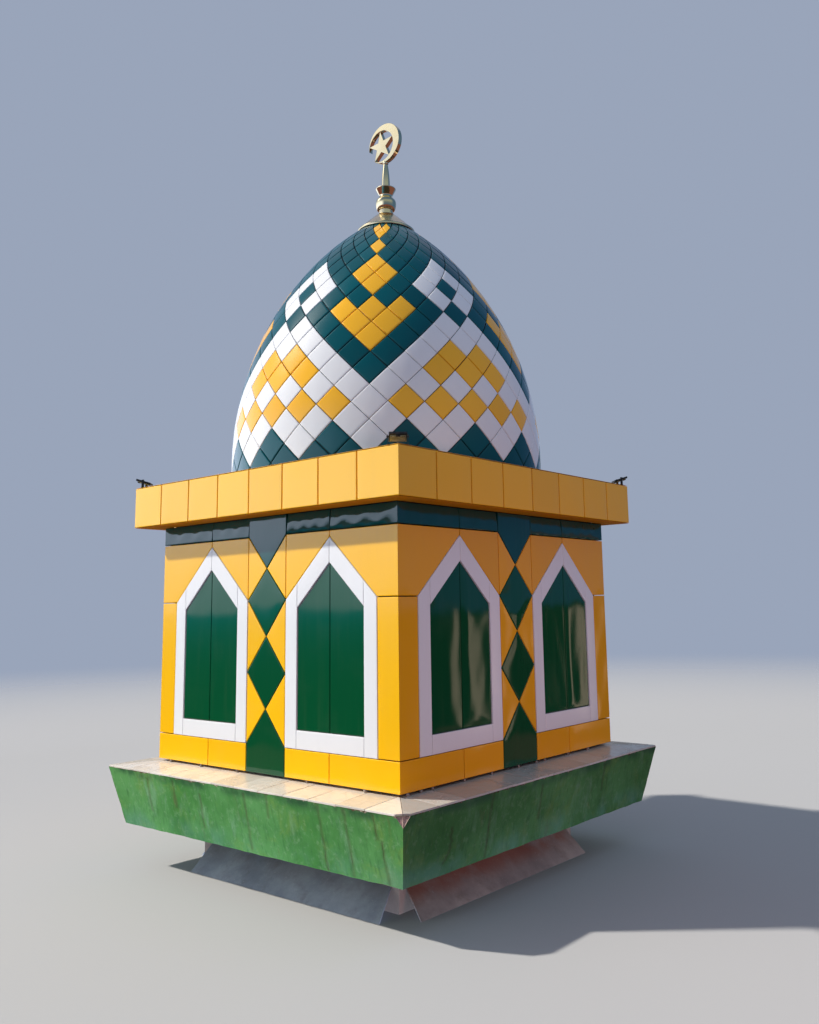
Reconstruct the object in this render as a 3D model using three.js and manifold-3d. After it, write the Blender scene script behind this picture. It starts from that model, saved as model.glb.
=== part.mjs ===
// Roof cupola of a mosque: a square drum clad in enamelled panels, on a tapered ledge and a neck that
// stands in the roof, under a pointed dome with a crescent finial. Millimetres, +Z up, origin at the
// centre of the footprint on the level where the skirt boards meet the roof.
import * as THREE from 'three';
import { mergeVertices } from 'three/addons/utils/BufferGeometryUtils.js';
import Module from 'manifold-3d';

const wasm = await Module();
wasm.setup();

// Driving dimensions
const WALL_HALF = 1250;              // outer face of the cladding
const CORE_HALF = 1190;              // outer face of the masonry behind it
const CORE_THICK = 100;
const NECK_HALF = 998;
const NECK_THICK = 110;
const SKIRT_REACH = 203;             // run of a skirt board, outwards
const SKIRT_RISE = 153;
const SKIRT_THICK = 16;              // measured level
const SKIRT_NEAR_END = 1020;         // half length beside the roof's hip
const SKIRT_FAR_END = 880;           // half length at the other end
const SKIRT_END_CUT = 88;            // how far the head is cut back at the hip's end
const SKIRT_FAR_CUT = 28;            // and how far it runs on past the foot at the other
const LEDGE_BOTTOM = 316;
const LEDGE_BOTTOM_HALF = 1417;
const LEDGE_TOP_HALF = 1514;
const LEDGE_TOP_EDGE = 728;          // top of the concrete at the ledge's edge
const LEDGE_TOP_WALL = 752;          // and beside the wall
const LEDGE_SLAB = 120;
const LEDGE_FASCIA = 90;
const TILE_THICK = 12;
const WALL_BOTTOM = 775;
const BASE_TOP = 967;                // top of the base course, bottom of the window frames
const LEAF_BOTTOM = 1088;
const SHOULDER_OUT = 1946;
const SHOULDER_IN = 1890;
const APEX_OUT = 2350;
const APEX_IN = 2181;
const FRIEZE_BOTTOM = 2394;
const FRIEZE_TOP = 2536;             // also the soffit
const CORNICE_TOP = 2855;
const CORNICE_HALF = 1419;
const SOFFIT_THICK = 20;
const WINDOW_CENTRE = 637;
const FRAME_HALF = 431;
const LEAF_HALF = 315;
const STRIP_HALF = 203;              // half width of the strip of diamonds
const DIAMOND_TIPS = [2166, 1697, 1206];
const DIAMOND_WAISTS = [SHOULDER_OUT, 1451, BASE_TOP];
const PANEL_BACK = 1230;             // cladding panels lie between this and their faces
const LEAF_FACE = 1244;
const FRAME_FACE = 1252;
const JOINT = 1.5;                   // half of the open joint between panels
const SLAB_BOTTOM = 2700;
const SLAB_TOP = CORNICE_TOP;
const SLAB_HALF = 1395;
const OCULUS_RADIUS = 1020;
const DOME_RADIUS = 1250;
const DOME_SPRING = 3000;            // height where the upright foot turns into the arc
const DOME_ARC = 2550;               // radius of the arc
const DOME_SHELL = 45;
const DOME_SIDES = 60;               // two for each column of diamond panels
const PATTERN_TURN = THREE.MathUtils.degToRad(37.3); // a column's middle, from the front to the right
const CROWN_RADIUS = 110;            // open top of the shell, closed by the cap
const CAP_RADIUS = 246;
const CAP_RIM = 5035;
const MAST_FOOT = 5250;
const MAST_HEIGHT = 440;
const EMBLEM_RADIUS = 176;           // the crescent's outside
const EMBLEM_HOLLOW = 140;
const EMBLEM_OFFSET = 38;            // from the crescent's centre to the hollow's
const EMBLEM_OPENING = THREE.MathUtils.degToRad(206);
const EMBLEM_THICK = 41;
const EMBLEM_SEAT = 18;
const STAR_TURN = THREE.MathUtils.degToRad(94);
const STAR_NOTCH = 54;               // radius of the star's inner corners
const LATHE_SIDES = 24;
const LAMP_INSET = 46;               // a floodlight's place, in from the cornice's corner on both sides
const LAMP_WIDTH = 112;
const LAMP_HALF_HEIGHT = 56;
const LAMP_TILT = 73;                // degrees back from upright, outwards, so the glass faces the dome
const LAMP_PIVOT = 50;               // height of the bracket's pivot
const GAP = 0.3;                     // clearance between pieces that touch

const SIDES = ['front', 'right', 'back', 'left'];
const QUARTER = Math.PI / 2;

// Colours and finishes
const finish = (color, roughness, metalness = 0) => (
  new THREE.MeshStandardMaterial({ color, roughness, metalness }));
const yellowEnamel = () => finish(0xf2b41e, 0.18);
const whiteEnamel = () => finish(0xeceaea, 0.2);
const greenEnamel = () => finish(0x0b5a36, 0.12);
const tealEnamel = () => finish(0x10585c, 0.15);
const paintedConcrete = () => finish(0x4f9a4c, 0.75);
const bareMasonry = () => finish(0xb9b2a6, 0.9);
const creamTile = () => finish(0xf2e4cf, 0.35);
const cementBoard = () => finish(0xaaa7a2, 0.85);
const polishedGold = () => finish(0xcfb57a, 0.2, 1);
const lampMetal = () => finish(0x1d1d1f, 0.5, 0.4);

const group = new THREE.Group();

function addMesh(name, geometry, material, turn = 0) {
  const mesh = new THREE.Mesh(geometry, material);
  mesh.name = name;
  mesh.rotation.z = turn;
  group.add(mesh);
  return mesh;
}

// Solids for joining and cutting
function toSolid(geometry) {
  const bare = geometry.clone();
  bare.deleteAttribute('normal');
  bare.deleteAttribute('uv');
  const merged = mergeVertices(bare, 1e-4);
  return new wasm.Manifold(new wasm.Mesh({
    numProp: 3,
    vertProperties: new Float32Array(merged.attributes.position.array),
    triVerts: new Uint32Array(merged.index.array),
  }));
}

function toGeometry(solid) {
  const mesh = solid.getMesh();
  const geometry = new THREE.BufferGeometry();
  geometry.setAttribute('position', new THREE.BufferAttribute(new Float32Array(mesh.vertProperties), 3));
  geometry.setIndex(new THREE.BufferAttribute(new Uint32Array(mesh.triVerts), 1));
  return geometry;
}

const joined = (solids) => solids.reduce((sum, next) => sum.add(next));

function block(x0, x1, y0, y1, z0, z1) {
  return new THREE.BoxGeometry(x1 - x0, y1 - y0, z1 - z0)
    .translate((x0 + x1) / 2, (y0 + y1) / 2, (z0 + z1) / 2);
}

const shapeOf = (points) => new THREE.Shape(points.map(([x, y]) => new THREE.Vector2(x, y)));

// A plate on the front wall: its outline is drawn in width and height, and it lies between two depths.
function plate(points, depth0, depth1) {
  return new THREE.ExtrudeGeometry(shapeOf(points), { depth: depth1 - depth0, bevelEnabled: false })
    .translate(0, 0, depth0)
    .rotateX(Math.PI / 2);
}

// A bar along the front wall with mitred ends: its section is drawn in depth and height.
function mitredBar(section, clearance = GAP) {
  const geometry = new THREE.ExtrudeGeometry(shapeOf(section), { depth: 2, bevelEnabled: false });
  const position = geometry.attributes.position;
  for (let i = 0; i < position.count; i += 1) {
    const depth = position.getX(i);
    const end = position.getZ(i) > 1 ? -1 : 1;
    position.setXYZ(i, end * (depth - clearance), -depth, position.getY(i));
  }
  return geometry;
}

// Outlines on a wall face
function pointedOutline(centre, half, bottom, shoulder, apex, grow) {
  const pitch = (apex - shoulder) / half;
  const lift = grow * Math.hypot(1, pitch);
  const eaves = apex + lift - pitch * (half + grow);
  return [
    [centre - half - grow, bottom - grow], [centre + half + grow, bottom - grow],
    [centre + half + grow, eaves], [centre, apex + lift], [centre - half - grow, eaves],
  ];
}

// Neck: four upright walls that stand in the roof and carry the ledge.
function buildNeck() {
  const inner = NECK_HALF - NECK_THICK;
  const top = LEDGE_TOP_WALL - LEDGE_SLAB - GAP;
  SIDES.forEach((side, k) => {
    const half = k % 2 === 0 ? NECK_HALF : inner - GAP;
    const wall = block(-half, half, -NECK_HALF, -inner, 0, top);
    addMesh(`neck_wall_${side}`, wall, bareMasonry(), k * QUARTER);
  });
}

// Skirt: a sloping board on each side, which sheds water from the neck onto the roof. The boards of the
// two sides at the near hip are mirror images, and so are those at the far one.
function buildSkirt() {
  const head = NECK_HALF + 2 * GAP;
  const foot = NECK_HALF + SKIRT_REACH;
  const section = [
    [head, SKIRT_RISE], [head, SKIRT_RISE - SKIRT_THICK], [foot - SKIRT_THICK, 0], [foot, 0],
  ];
  const lengthAt = (down, atHip) => (atHip
    ? SKIRT_NEAR_END - SKIRT_END_CUT * (1 - down)
    : SKIRT_FAR_END + SKIRT_FAR_CUT * (1 - down));
  SIDES.forEach((side, k) => {
    const towardsHip = k % 2 === 0 ? 1 : -1;
    const geometry = new THREE.ExtrudeGeometry(shapeOf(section), { depth: 2, bevelEnabled: false });
    const position = geometry.attributes.position;
    for (let i = 0; i < position.count; i += 1) {
      const depth = position.getX(i);
      const end = position.getZ(i) > 1 ? -1 : 1;
      const length = lengthAt((depth - head) / (foot - head), end === towardsHip);
      position.setXYZ(i, end * length, -depth, position.getY(i));
    }
    addMesh(`skirt_board_${side}`, geometry, cementBoard(), k * QUARTER);
  });
}

// Ledge: a slab with a deep fascia whose face leans out towards the top.
function buildLedge() {
  const inner = NECK_HALF - NECK_THICK;
  const slabUnder = LEDGE_TOP_WALL - LEDGE_SLAB;
  const lean = (LEDGE_TOP_HALF - LEDGE_BOTTOM_HALF) / (LEDGE_TOP_EDGE - LEDGE_BOTTOM);
  const innerAtSlab = LEDGE_BOTTOM_HALF + lean * (slabUnder - LEDGE_BOTTOM) - LEDGE_FASCIA;
  const section = [
    [inner, slabUnder], [innerAtSlab, slabUnder], [LEDGE_BOTTOM_HALF - LEDGE_FASCIA, LEDGE_BOTTOM],
    [LEDGE_BOTTOM_HALF, LEDGE_BOTTOM], [LEDGE_TOP_HALF, LEDGE_TOP_EDGE], [CORE_HALF, LEDGE_TOP_WALL],
    [inner, LEDGE_TOP_WALL],
  ];
  SIDES.forEach((side, k) => {
    addMesh(`ledge_${side}`, mitredBar(section), paintedConcrete(), k * QUARTER);
  });
}

// Tiles: one bed of ceramic tiles round the wall, falling to the edge of the ledge.
function buildLedgeTiles() {
  const inner = CORE_HALF + 3 * GAP;
  const lift = 2 * GAP;
  const fall = (LEDGE_TOP_WALL - LEDGE_TOP_EDGE) / (LEDGE_TOP_HALF - CORE_HALF);
  const under = (depth) => LEDGE_TOP_WALL + lift - fall * (depth - CORE_HALF);
  const section = [
    [inner, under(inner)], [LEDGE_TOP_HALF, under(LEDGE_TOP_HALF)],
    [LEDGE_TOP_HALF, under(LEDGE_TOP_HALF) + TILE_THICK], [inner, under(inner) + TILE_THICK],
  ];
  const bars = SIDES.map((_, k) => toSolid(mitredBar(section, 0).rotateZ(k * QUARTER)));
  addMesh('ledge_tiles', toGeometry(joined(bars)), creamTile());
}

// Drum: four plain masonry walls between the ledge and the roof slab.
function buildCore() {
  const inner = CORE_HALF - CORE_THICK;
  SIDES.forEach((side, k) => {
    const half = k % 2 === 0 ? CORE_HALF : inner - GAP;
    const wall = block(-half, half, -CORE_HALF, -inner, LEDGE_TOP_WALL + GAP, SLAB_BOTTOM - GAP);
    addMesh(`drum_wall_${side}`, wall, bareMasonry(), k * QUARTER);
  });
}

// A level rail behind the panels, bearing on the masonry, with a pad behind each panel that hangs on it.
const RAIL_HEIGHT = 40;
const RAIL_FACE = PANEL_BACK - 4;
const PAD_FACE = PANEL_BACK + 2;
const RAIL_END = WALL_HALF - 80;
const OVERRUN = 10;                  // how far a cutting tool runs on past the faces that it cuts
function rail(height, half, pads) {
  const low = height - RAIL_HEIGHT / 2;
  const high = height + RAIL_HEIGHT / 2;
  const bar = toSolid(block(-half, half, -RAIL_FACE, -CORE_HALF - GAP, low, high));
  const blocks = pads.map(([u0, u1]) => toSolid(block(u0, u1, -PAD_FACE, -RAIL_FACE + 1, low, high)));
  return joined([bar, ...blocks]);
}

const mirrored = (spans) => spans.flatMap(([u0, u1]) => [[u0, u1], [-u1, -u0]]);

// Yellow panels: the field round the windows, the triangles beside the diamonds and the base course.
function buildYellowPanels() {
  const top = FRIEZE_BOTTOM - 2 * JOINT;
  const section = [
    [PANEL_BACK, WALL_BOTTOM], [WALL_HALF, WALL_BOTTOM], [WALL_HALF, top], [PANEL_BACK, top],
  ];
  const outer = toSolid(mitredBar(section));
  const through = (points) => toSolid(plate(points, PANEL_BACK - OVERRUN, WALL_HALF + OVERRUN));
  const windows = [-1, 1].map((hand) => through(
    pointedOutline(hand * WINDOW_CENTRE, FRAME_HALF, BASE_TOP, SHOULDER_OUT, APEX_OUT, JOINT)));
  const green = through(greenOutline(JOINT));
  const field = [...windows, green].reduce((sum, next) => sum.subtract(next), outer);
  const edge = WINDOW_CENTRE + FRAME_HALF;
  const baseCourse = mirrored([[STRIP_HALF + 30, edge]]);
  const fields = mirrored([[30, STRIP_HALF - 15], [edge + 20, RAIL_END]]);
  const solid = joined([
    field,
    rail((WALL_BOTTOM + BASE_TOP) / 2, RAIL_END, baseCourse),
    rail(DIAMOND_TIPS[2], RAIL_END, fields),
    rail(DIAMOND_TIPS[1], RAIL_END, fields),
  ]);
  SIDES.forEach((side, k) => {
    addMesh(`yellow_panels_${side}`, toGeometry(solid), yellowEnamel(), k * QUARTER);
  });
}

// Green strip: the pendant below the frieze, two diamonds and a pointed foot, joined at their tips.
const TIP_NECK = 12;
function greenOutline(grow) {
  const [tip0, tip1, tip2] = DIAMOND_TIPS;
  const [waist1, waist2, waist3] = DIAMOND_WAISTS;
  const neck = TIP_NECK / 2 + grow;
  const side = STRIP_HALF + grow;
  const onEdge = (tip, waist) => tip + (waist - tip) * (neck / STRIP_HALF);
  const foot = WALL_BOTTOM - (grow > 0 ? OVERRUN : 0);
  const half = [
    [STRIP_HALF, FRIEZE_BOTTOM + 1], [neck, onEdge(tip0, FRIEZE_BOTTOM) - 2 * grow],
    [neck, onEdge(tip0, waist1) + 2 * grow], [side, waist1],
    [neck, onEdge(tip1, waist1) - 2 * grow], [neck, onEdge(tip1, waist2) + 2 * grow],
    [side, waist2], [neck, onEdge(tip2, waist2) - 2 * grow],
    [neck, onEdge(tip2, waist3) + 2 * grow], [side, waist3], [side, foot],
  ];
  const other = half.map(([u, z]) => [-u, z]).reverse();
  return [...half, ...other];
}

function buildGreenPanels() {
  const section = [
    [PANEL_BACK, FRIEZE_BOTTOM], [WALL_HALF, FRIEZE_BOTTOM],
    [WALL_HALF, FRIEZE_TOP], [PANEL_BACK, FRIEZE_TOP],
  ];
  const frieze = toSolid(mitredBar(section));
  const strip = toSolid(plate(greenOutline(0), PANEL_BACK, WALL_HALF));
  const bearing = rail((FRIEZE_BOTTOM + FRIEZE_TOP) / 2, RAIL_END, [[-RAIL_END, RAIL_END]]);
  const solid = joined([frieze, strip, bearing]);
  SIDES.forEach((side, k) => {
    addMesh(`green_frieze_${side}`, toGeometry(solid), greenEnamel(), k * QUARTER);
  });
}

// False windows: a white pointed frame and, set back inside it, two closed green leaves.
const JAMB_RAIL = 1780;
const LEAF_RAILS = [1300, 1600];
const LEAF_GROOVE = 3;               // half width of the joint between the two leaves
const GROOVE_DEPTH = 8;
function windowFrame(centre) {
  const outside = pointedOutline(centre, FRAME_HALF, BASE_TOP, SHOULDER_OUT, APEX_OUT, 0);
  const inside = pointedOutline(centre, LEAF_HALF, LEAF_BOTTOM, SHOULDER_IN, APEX_IN, 0);
  return toSolid(plate(outside, PANEL_BACK, FRAME_FACE))
    .subtract(toSolid(plate(inside, PANEL_BACK - OVERRUN, FRAME_FACE + OVERRUN)));
}

function windowLeaves(centre) {
  const outline = pointedOutline(centre, LEAF_HALF, LEAF_BOTTOM, SHOULDER_IN, APEX_IN, -2 * JOINT);
  const groove = block(
    centre - LEAF_GROOVE, centre + LEAF_GROOVE, -LEAF_FACE - 1, -LEAF_FACE + GROOVE_DEPTH,
    LEAF_BOTTOM - 1, APEX_IN + 1);
  return toSolid(plate(outline, PANEL_BACK, LEAF_FACE)).subtract(toSolid(groove));
}

function buildWindows() {
  const centres = [-WINDOW_CENTRE, WINDOW_CENTRE];
  const inset = 10;
  const near = WINDOW_CENTRE - FRAME_HALF + inset;
  const far = WINDOW_CENTRE + FRAME_HALF - inset;
  const leafNear = WINDOW_CENTRE - LEAF_HALF;
  const leafFar = WINDOW_CENTRE + LEAF_HALF;
  const jambs = mirrored([[near, leafNear - inset], [leafFar + inset, far]]);
  const leaves = mirrored([[leafNear + 2 * inset, leafFar - 2 * inset]]);
  const frameSolid = joined([
    ...centres.map(windowFrame),
    rail((BASE_TOP + LEAF_BOTTOM) / 2, far, mirrored([[near, far]])),
    rail(JAMB_RAIL, far, jambs),
  ]);
  const leafSolid = joined([
    ...centres.map(windowLeaves),
    ...LEAF_RAILS.map((height) => rail(height, leafFar - 2 * inset, leaves)),
  ]);
  SIDES.forEach((side, k) => {
    addMesh(`window_frames_${side}`, toGeometry(frameSolid), whiteEnamel(), k * QUARTER);
    addMesh(`window_leaves_${side}`, toGeometry(leafSolid), greenEnamel(), k * QUARTER);
  });
}

// Cornice: a soffit that covers the head of the cladding, and an upright fascia round the roof slab.
function buildCornice() {
  const soffit = FRIEZE_TOP + 2 * GAP;
  const above = soffit + SOFFIT_THICK;
  const section = [
    [CORE_HALF + GAP, soffit], [CORNICE_HALF, soffit], [CORNICE_HALF, CORNICE_TOP],
    [SLAB_HALF + GAP, CORNICE_TOP], [SLAB_HALF + GAP, above], [CORE_HALF + GAP, above],
  ];
  SIDES.forEach((side, k) => {
    addMesh(`cornice_${side}`, mitredBar(section), yellowEnamel(), k * QUARTER);
  });
}

// Roof slab with the round opening under the dome.
function buildRoofSlab() {
  const outline = shapeOf([
    [-SLAB_HALF, -SLAB_HALF], [SLAB_HALF, -SLAB_HALF], [SLAB_HALF, SLAB_HALF], [-SLAB_HALF, SLAB_HALF],
  ]);
  const opening = new THREE.Path();
  opening.absarc(0, 0, OCULUS_RADIUS, 0, 2 * Math.PI, true);
  outline.holes.push(opening);
  const slab = new THREE.ExtrudeGeometry(outline, {
    depth: SLAB_TOP - SLAB_BOTTOM, bevelEnabled: false, curveSegments: 24,
  }).translate(0, 0, SLAB_BOTTOM);
  addMesh('roof_slab', slab, bareMasonry());
}

// Dome: an upright foot and then an arc, turned about the axis, open at the foot.
const domeAngle = (radius) => Math.acos((DOME_ARC - DOME_RADIUS + radius) / DOME_ARC);
const domePoint = (angle, shell) => new THREE.Vector2(
  DOME_RADIUS - DOME_ARC + (DOME_ARC - shell) * Math.cos(angle),
  DOME_SPRING + (DOME_ARC - shell) * Math.sin(angle));

function buildDome() {
  const steps = 12;
  const foot = SLAB_TOP + GAP;
  const crown = domeAngle(CROWN_RADIUS);
  const outer = [new THREE.Vector2(DOME_RADIUS, foot)];
  const inner = [new THREE.Vector2(DOME_RADIUS - DOME_SHELL, foot)];
  for (let i = 0; i <= steps; i += 1) {
    outer.push(domePoint(crown * i / steps, 0));
    inner.push(domePoint(crown * i / steps, DOME_SHELL));
  }
  const profile = [...outer, ...inner.reverse(), outer[0].clone()];
  const shell = new THREE.LatheGeometry(profile, DOME_SIDES).rotateX(Math.PI / 2).rotateZ(PATTERN_TURN);
  addMesh('dome', shell, tealEnamel());
}

// Finial: a flared cap on the dome's crown, a mast with a bulb and a collar, and a crescent with a star.
// Profiles are pairs of radius and height, the cap's from its rim and the mast's from its foot.
const CAP_SEAT_RADIUS = 236;
const CAP_PROFILE = [
  [CAP_RADIUS - 3, 0], [CAP_RADIUS, 4], [CAP_RADIUS, 17], [CAP_RADIUS - 5, 23], [100, 151], [72, 173],
  [63, 184], [60, 198], [60, MAST_FOOT - CAP_RIM],
];
const MAST_PROFILE = [
  [0, 0], [62, 0], [74, 4], [81, 18], [85, 38], [88, 60], [87, 78], [82, 90], [72, 101], [60, 118],
  [56, 134], [59, 144], [70, 156], [81, 174], [86, 190], [85, 196], [80, 199], [37, 202], [34, 290], [28, 360],
  [EMBLEM_SEAT, MAST_HEIGHT], [0, MAST_HEIGHT],
];

function lathe(points, foot) {
  const profile = points.map(([radius, height]) => new THREE.Vector2(radius, foot + height));
  return new THREE.LatheGeometry(profile, LATHE_SIDES).rotateX(Math.PI / 2);
}

function discOutline(radius) {
  const outline = new THREE.Shape();
  outline.absarc(0, 0, radius, 0, 2 * Math.PI, false);
  return outline;
}

function starOutline(outer, notch) {
  const points = [];
  for (let i = 0; i < 10; i += 1) {
    const angle = STAR_TURN + i * Math.PI / 5;
    const radius = i % 2 === 0 ? outer : notch;
    points.push([radius * Math.cos(angle), radius * Math.sin(angle)]);
  }
  return shapeOf(points);
}

// A plate that stands on edge, facing the front, with its middle on the axis.
function upright(outline, depth) {
  const settings = { depth, bevelEnabled: false, curveSegments: LATHE_SIDES };
  return toSolid(new THREE.ExtrudeGeometry(outline, settings)
    .translate(0, 0, -depth / 2)
    .rotateX(Math.PI / 2));
}

function buildEmblem() {
  const tipOverlap = 4;
  const shift = [
    EMBLEM_OFFSET * Math.cos(EMBLEM_OPENING), 0, EMBLEM_OFFSET * Math.sin(EMBLEM_OPENING),
  ];
  const bite = upright(discOutline(EMBLEM_HOLLOW), EMBLEM_THICK + OVERRUN).translate(shift);
  const crescent = upright(discOutline(EMBLEM_RADIUS), EMBLEM_THICK).subtract(bite);
  const star = upright(starOutline(EMBLEM_HOLLOW + tipOverlap, STAR_NOTCH), EMBLEM_THICK)
    .translate(shift);
  const foot = toSolid(new THREE.CylinderGeometry(EMBLEM_SEAT, EMBLEM_SEAT, EMBLEM_SEAT, LATHE_SIDES)
    .rotateX(Math.PI / 2)
    .translate(0, 0, EMBLEM_SEAT / 2 - EMBLEM_RADIUS));
  return joined([crescent, star, foot]);
}

function buildFinial() {
  const seat = [CROWN_RADIUS, CAP_SEAT_RADIUS].map((radius) => domePoint(domeAngle(radius), -2 * GAP));
  const underside = seat.map((point) => [point.x, point.y - CAP_RIM]);
  const cap = [[0, underside[0][1]], ...underside, ...CAP_PROFILE, [0, MAST_FOOT - CAP_RIM]];
  addMesh('finial_cap', lathe(cap, CAP_RIM), polishedGold());
  addMesh('finial_mast', lathe(MAST_PROFILE, MAST_FOOT + GAP), polishedGold());
  const centre = MAST_FOOT + MAST_HEIGHT + EMBLEM_RADIUS + 3 * GAP;
  addMesh('finial_crescent_star', toGeometry(buildEmblem().translate([0, 0, centre])), polishedGold());
}

// Floodlights: one on each corner of the cornice, in a forked bracket, laid back to light the dome.
function buildFloodlights() {
  const gauge = 3;
  const arm = LAMP_WIDTH / 2 + 8;
  const armTop = LAMP_PIVOT + 12;
  const base = block(-arm, arm, -14, 14, 0, gauge);
  const arms = [-arm, arm - gauge].map((x) => block(x, x + gauge, -10, 10, 0, armTop));
  const pivot = new THREE.CylinderGeometry(5, 5, LAMP_WIDTH + 18, 12).rotateZ(Math.PI / 2)
    .translate(0, 0, LAMP_PIVOT);
  const half = LAMP_WIDTH / 2;
  const face = block(-half, half, -10, 5, -LAMP_HALF_HEIGHT, LAMP_HALF_HEIGHT);
  const cover = block(12 - half, half - 12, -16, -9, 18 - LAMP_HALF_HEIGHT, LAMP_HALF_HEIGHT - 18);
  const housing = joined([face, cover].map(toSolid))
    .rotate([LAMP_TILT, 0, 0])
    .translate([0, 0, LAMP_PIVOT]);
  const lamp = joined([...[base, ...arms, pivot].map(toSolid), housing]);
  const reach = (CORNICE_HALF - LAMP_INSET) * Math.SQRT2;
  ['near', 'right', 'far', 'left'].forEach((corner, k) => {
    const turn = Math.PI / 4 + k * QUARTER;
    const mesh = addMesh(`floodlight_${corner}`, toGeometry(lamp), lampMetal(), turn);
    mesh.position.set(reach * Math.sin(turn), -reach * Math.cos(turn), SLAB_TOP + GAP);
  });
}

buildNeck();
buildSkirt();
buildLedge();
buildLedgeTiles();
buildCore();
buildYellowPanels();
buildGreenPanels();
buildWindows();
buildCornice();
buildRoofSlab();
buildDome();
buildFinial();
buildFloodlights();

export default group;
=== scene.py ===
"""Looks of a mosque's roof cupola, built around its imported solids: enamelled trays on the drum and the
dome, a tiled ledge of painted concrete, cement skirt boards, a gilt finial and four small floodlights.
Metres, +Z up. The front faces -Y, and the other sides are the front turned by quarters."""
import math

import bmesh
import bpy
import numpy as np
from mathutils import Matrix, Vector, noise


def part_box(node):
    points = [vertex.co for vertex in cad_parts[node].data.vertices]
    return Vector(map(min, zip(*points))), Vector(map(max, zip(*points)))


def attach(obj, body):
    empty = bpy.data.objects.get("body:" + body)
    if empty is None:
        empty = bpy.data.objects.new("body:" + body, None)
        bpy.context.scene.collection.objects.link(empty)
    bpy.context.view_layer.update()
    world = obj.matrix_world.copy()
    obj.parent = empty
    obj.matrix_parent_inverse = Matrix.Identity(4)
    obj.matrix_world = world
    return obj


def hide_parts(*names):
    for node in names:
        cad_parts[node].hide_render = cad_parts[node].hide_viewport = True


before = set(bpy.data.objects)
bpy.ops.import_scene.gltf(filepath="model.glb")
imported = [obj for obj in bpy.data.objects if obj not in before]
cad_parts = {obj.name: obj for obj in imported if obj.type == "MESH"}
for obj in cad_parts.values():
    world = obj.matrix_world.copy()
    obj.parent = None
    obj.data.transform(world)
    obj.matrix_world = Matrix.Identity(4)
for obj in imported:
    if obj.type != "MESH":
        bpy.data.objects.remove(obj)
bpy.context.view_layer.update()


def reach(node):
    """How far a node of the front side stands out towards -Y."""
    return -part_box(node)[0].y


def top(node):
    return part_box(node)[1].z


def bottom(node):
    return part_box(node)[0].z


SIDES = ("front", "right", "back", "left")
SUNNY = ("front", "left")
CHIPPED = ("front", "right")

# Drum, read from the frame where a node's box gives it
WALL = reach("yellow_panels_front")
FRAME_FACE = reach("window_frames_front")
LEAF_FACE = reach("window_leaves_front")
WALL_BOTTOM = bottom("yellow_panels_front")
BASE_TOP = bottom("window_frames_front")
APEX_OUT = top("window_frames_front")
FRIEZE_TOP = top("green_frieze_front")
SOFFIT = bottom("cornice_front")
CORNICE_TOP = top("cornice_front")
CORNICE = reach("cornice_front")
FRIEZE_BOTTOM = 2.394
SHOULDER_OUT = 1.946
SHOULDER_IN = 1.890
APEX_IN = 2.181
LEAF_BOTTOM = 1.088
WINDOW_CENTRE = 0.637
FRAME_HALF = 0.431
LEAF_HALF = 0.315
STRIP_HALF = 0.203
DIAMOND_TIPS = (2.166, 1.697, 1.206)
DIAMOND_WAISTS = (SHOULDER_OUT, 1.451, BASE_TOP)

# Trays: sheet folded back at its edges, with an open joint round it, given by its half width
WALL_DEPTH = 0.020
WALL_BEND = 0.0030
WALL_JOINT = 0.0032
FRAME_JOINT = 0.0010
LEAF_JOINT = 0.0028
CORNICE_JOINT = 0.0054
CORNER_JOINT = 0.0002
CORNER_BEND = 0.3                         # share of the bend that an edge on a corner has
LAND = 0.004                              # flat rim inside the bend
CELL = 0.030
RISE = 0.055                              # how far in from its edges a face has its full bulge
WAVES = 5
TOUCH = 1e-6                              # places nearer than this are one
# A kind's bulge, its ripple, the deeper ripple on some sides, and its waves' lengths across and along
RIPPLES = {
    "yellow": (0.0006, 0.0004, {"right": 0.0015}, 0.30, 0.45),
    "green": (0.0006, 0.0005, {"right": 0.0016}, 0.30, 0.40),
    "white": (0.0006, 0.0004, {}, 0.30, 0.45),
    "leaf": (0.0004, 0.0007, {"right": 0.0020, "back": 0.0020}, 0.34, 1.3),
    "leaf, fine": (0.0, 0.000112, {"right": 0.00032, "back": 0.00032}, 0.15, 0.32),
    "cornice": (0.0012, 0.0005, {"right": 0.0014}, 0.30, 0.45),
}
# Seeds of the leaves' waves; those on the right were picked for reflections like the photograph's
LEAF_SEEDS = {
    "front": (1, 2, 3, 4), "right": (1242, 1218, 264, 856),
    "back": (9, 10, 11, 12), "left": (13, 14, 15, 16),
}

# Frieze trays lean back from a wavy crest: the crest's height over their foot, and how deep they fall
CREST_LOW = 0.012
CREST_SWING = 0.080
TUCK_TOP = 0.0110
TUCK_SWING = 0.0020
TUCK_FOOT = 0.0070
TUCK_CURVE = 1.2
TUCK_END = 0.09                           # the fall fades out this far from the drum's corners

# Cornice: eight bays a side, and thin flat trays for its soffit and the return on its top
CORNICE_PANELS = 8
RETURN_DEPTH = 0.055
RETURN_RISE = 0.0016                      # its face above the cornice's top
FLAT_TRAY = (0.0012, 0.001, 0.0015, 0.09)  # joint, bend, depth and cell
FLAT_SET_BACK = 0.001
SOFFIT_OVERLAP = 0.004                    # the soffit reaches this far behind the drum's face

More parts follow.
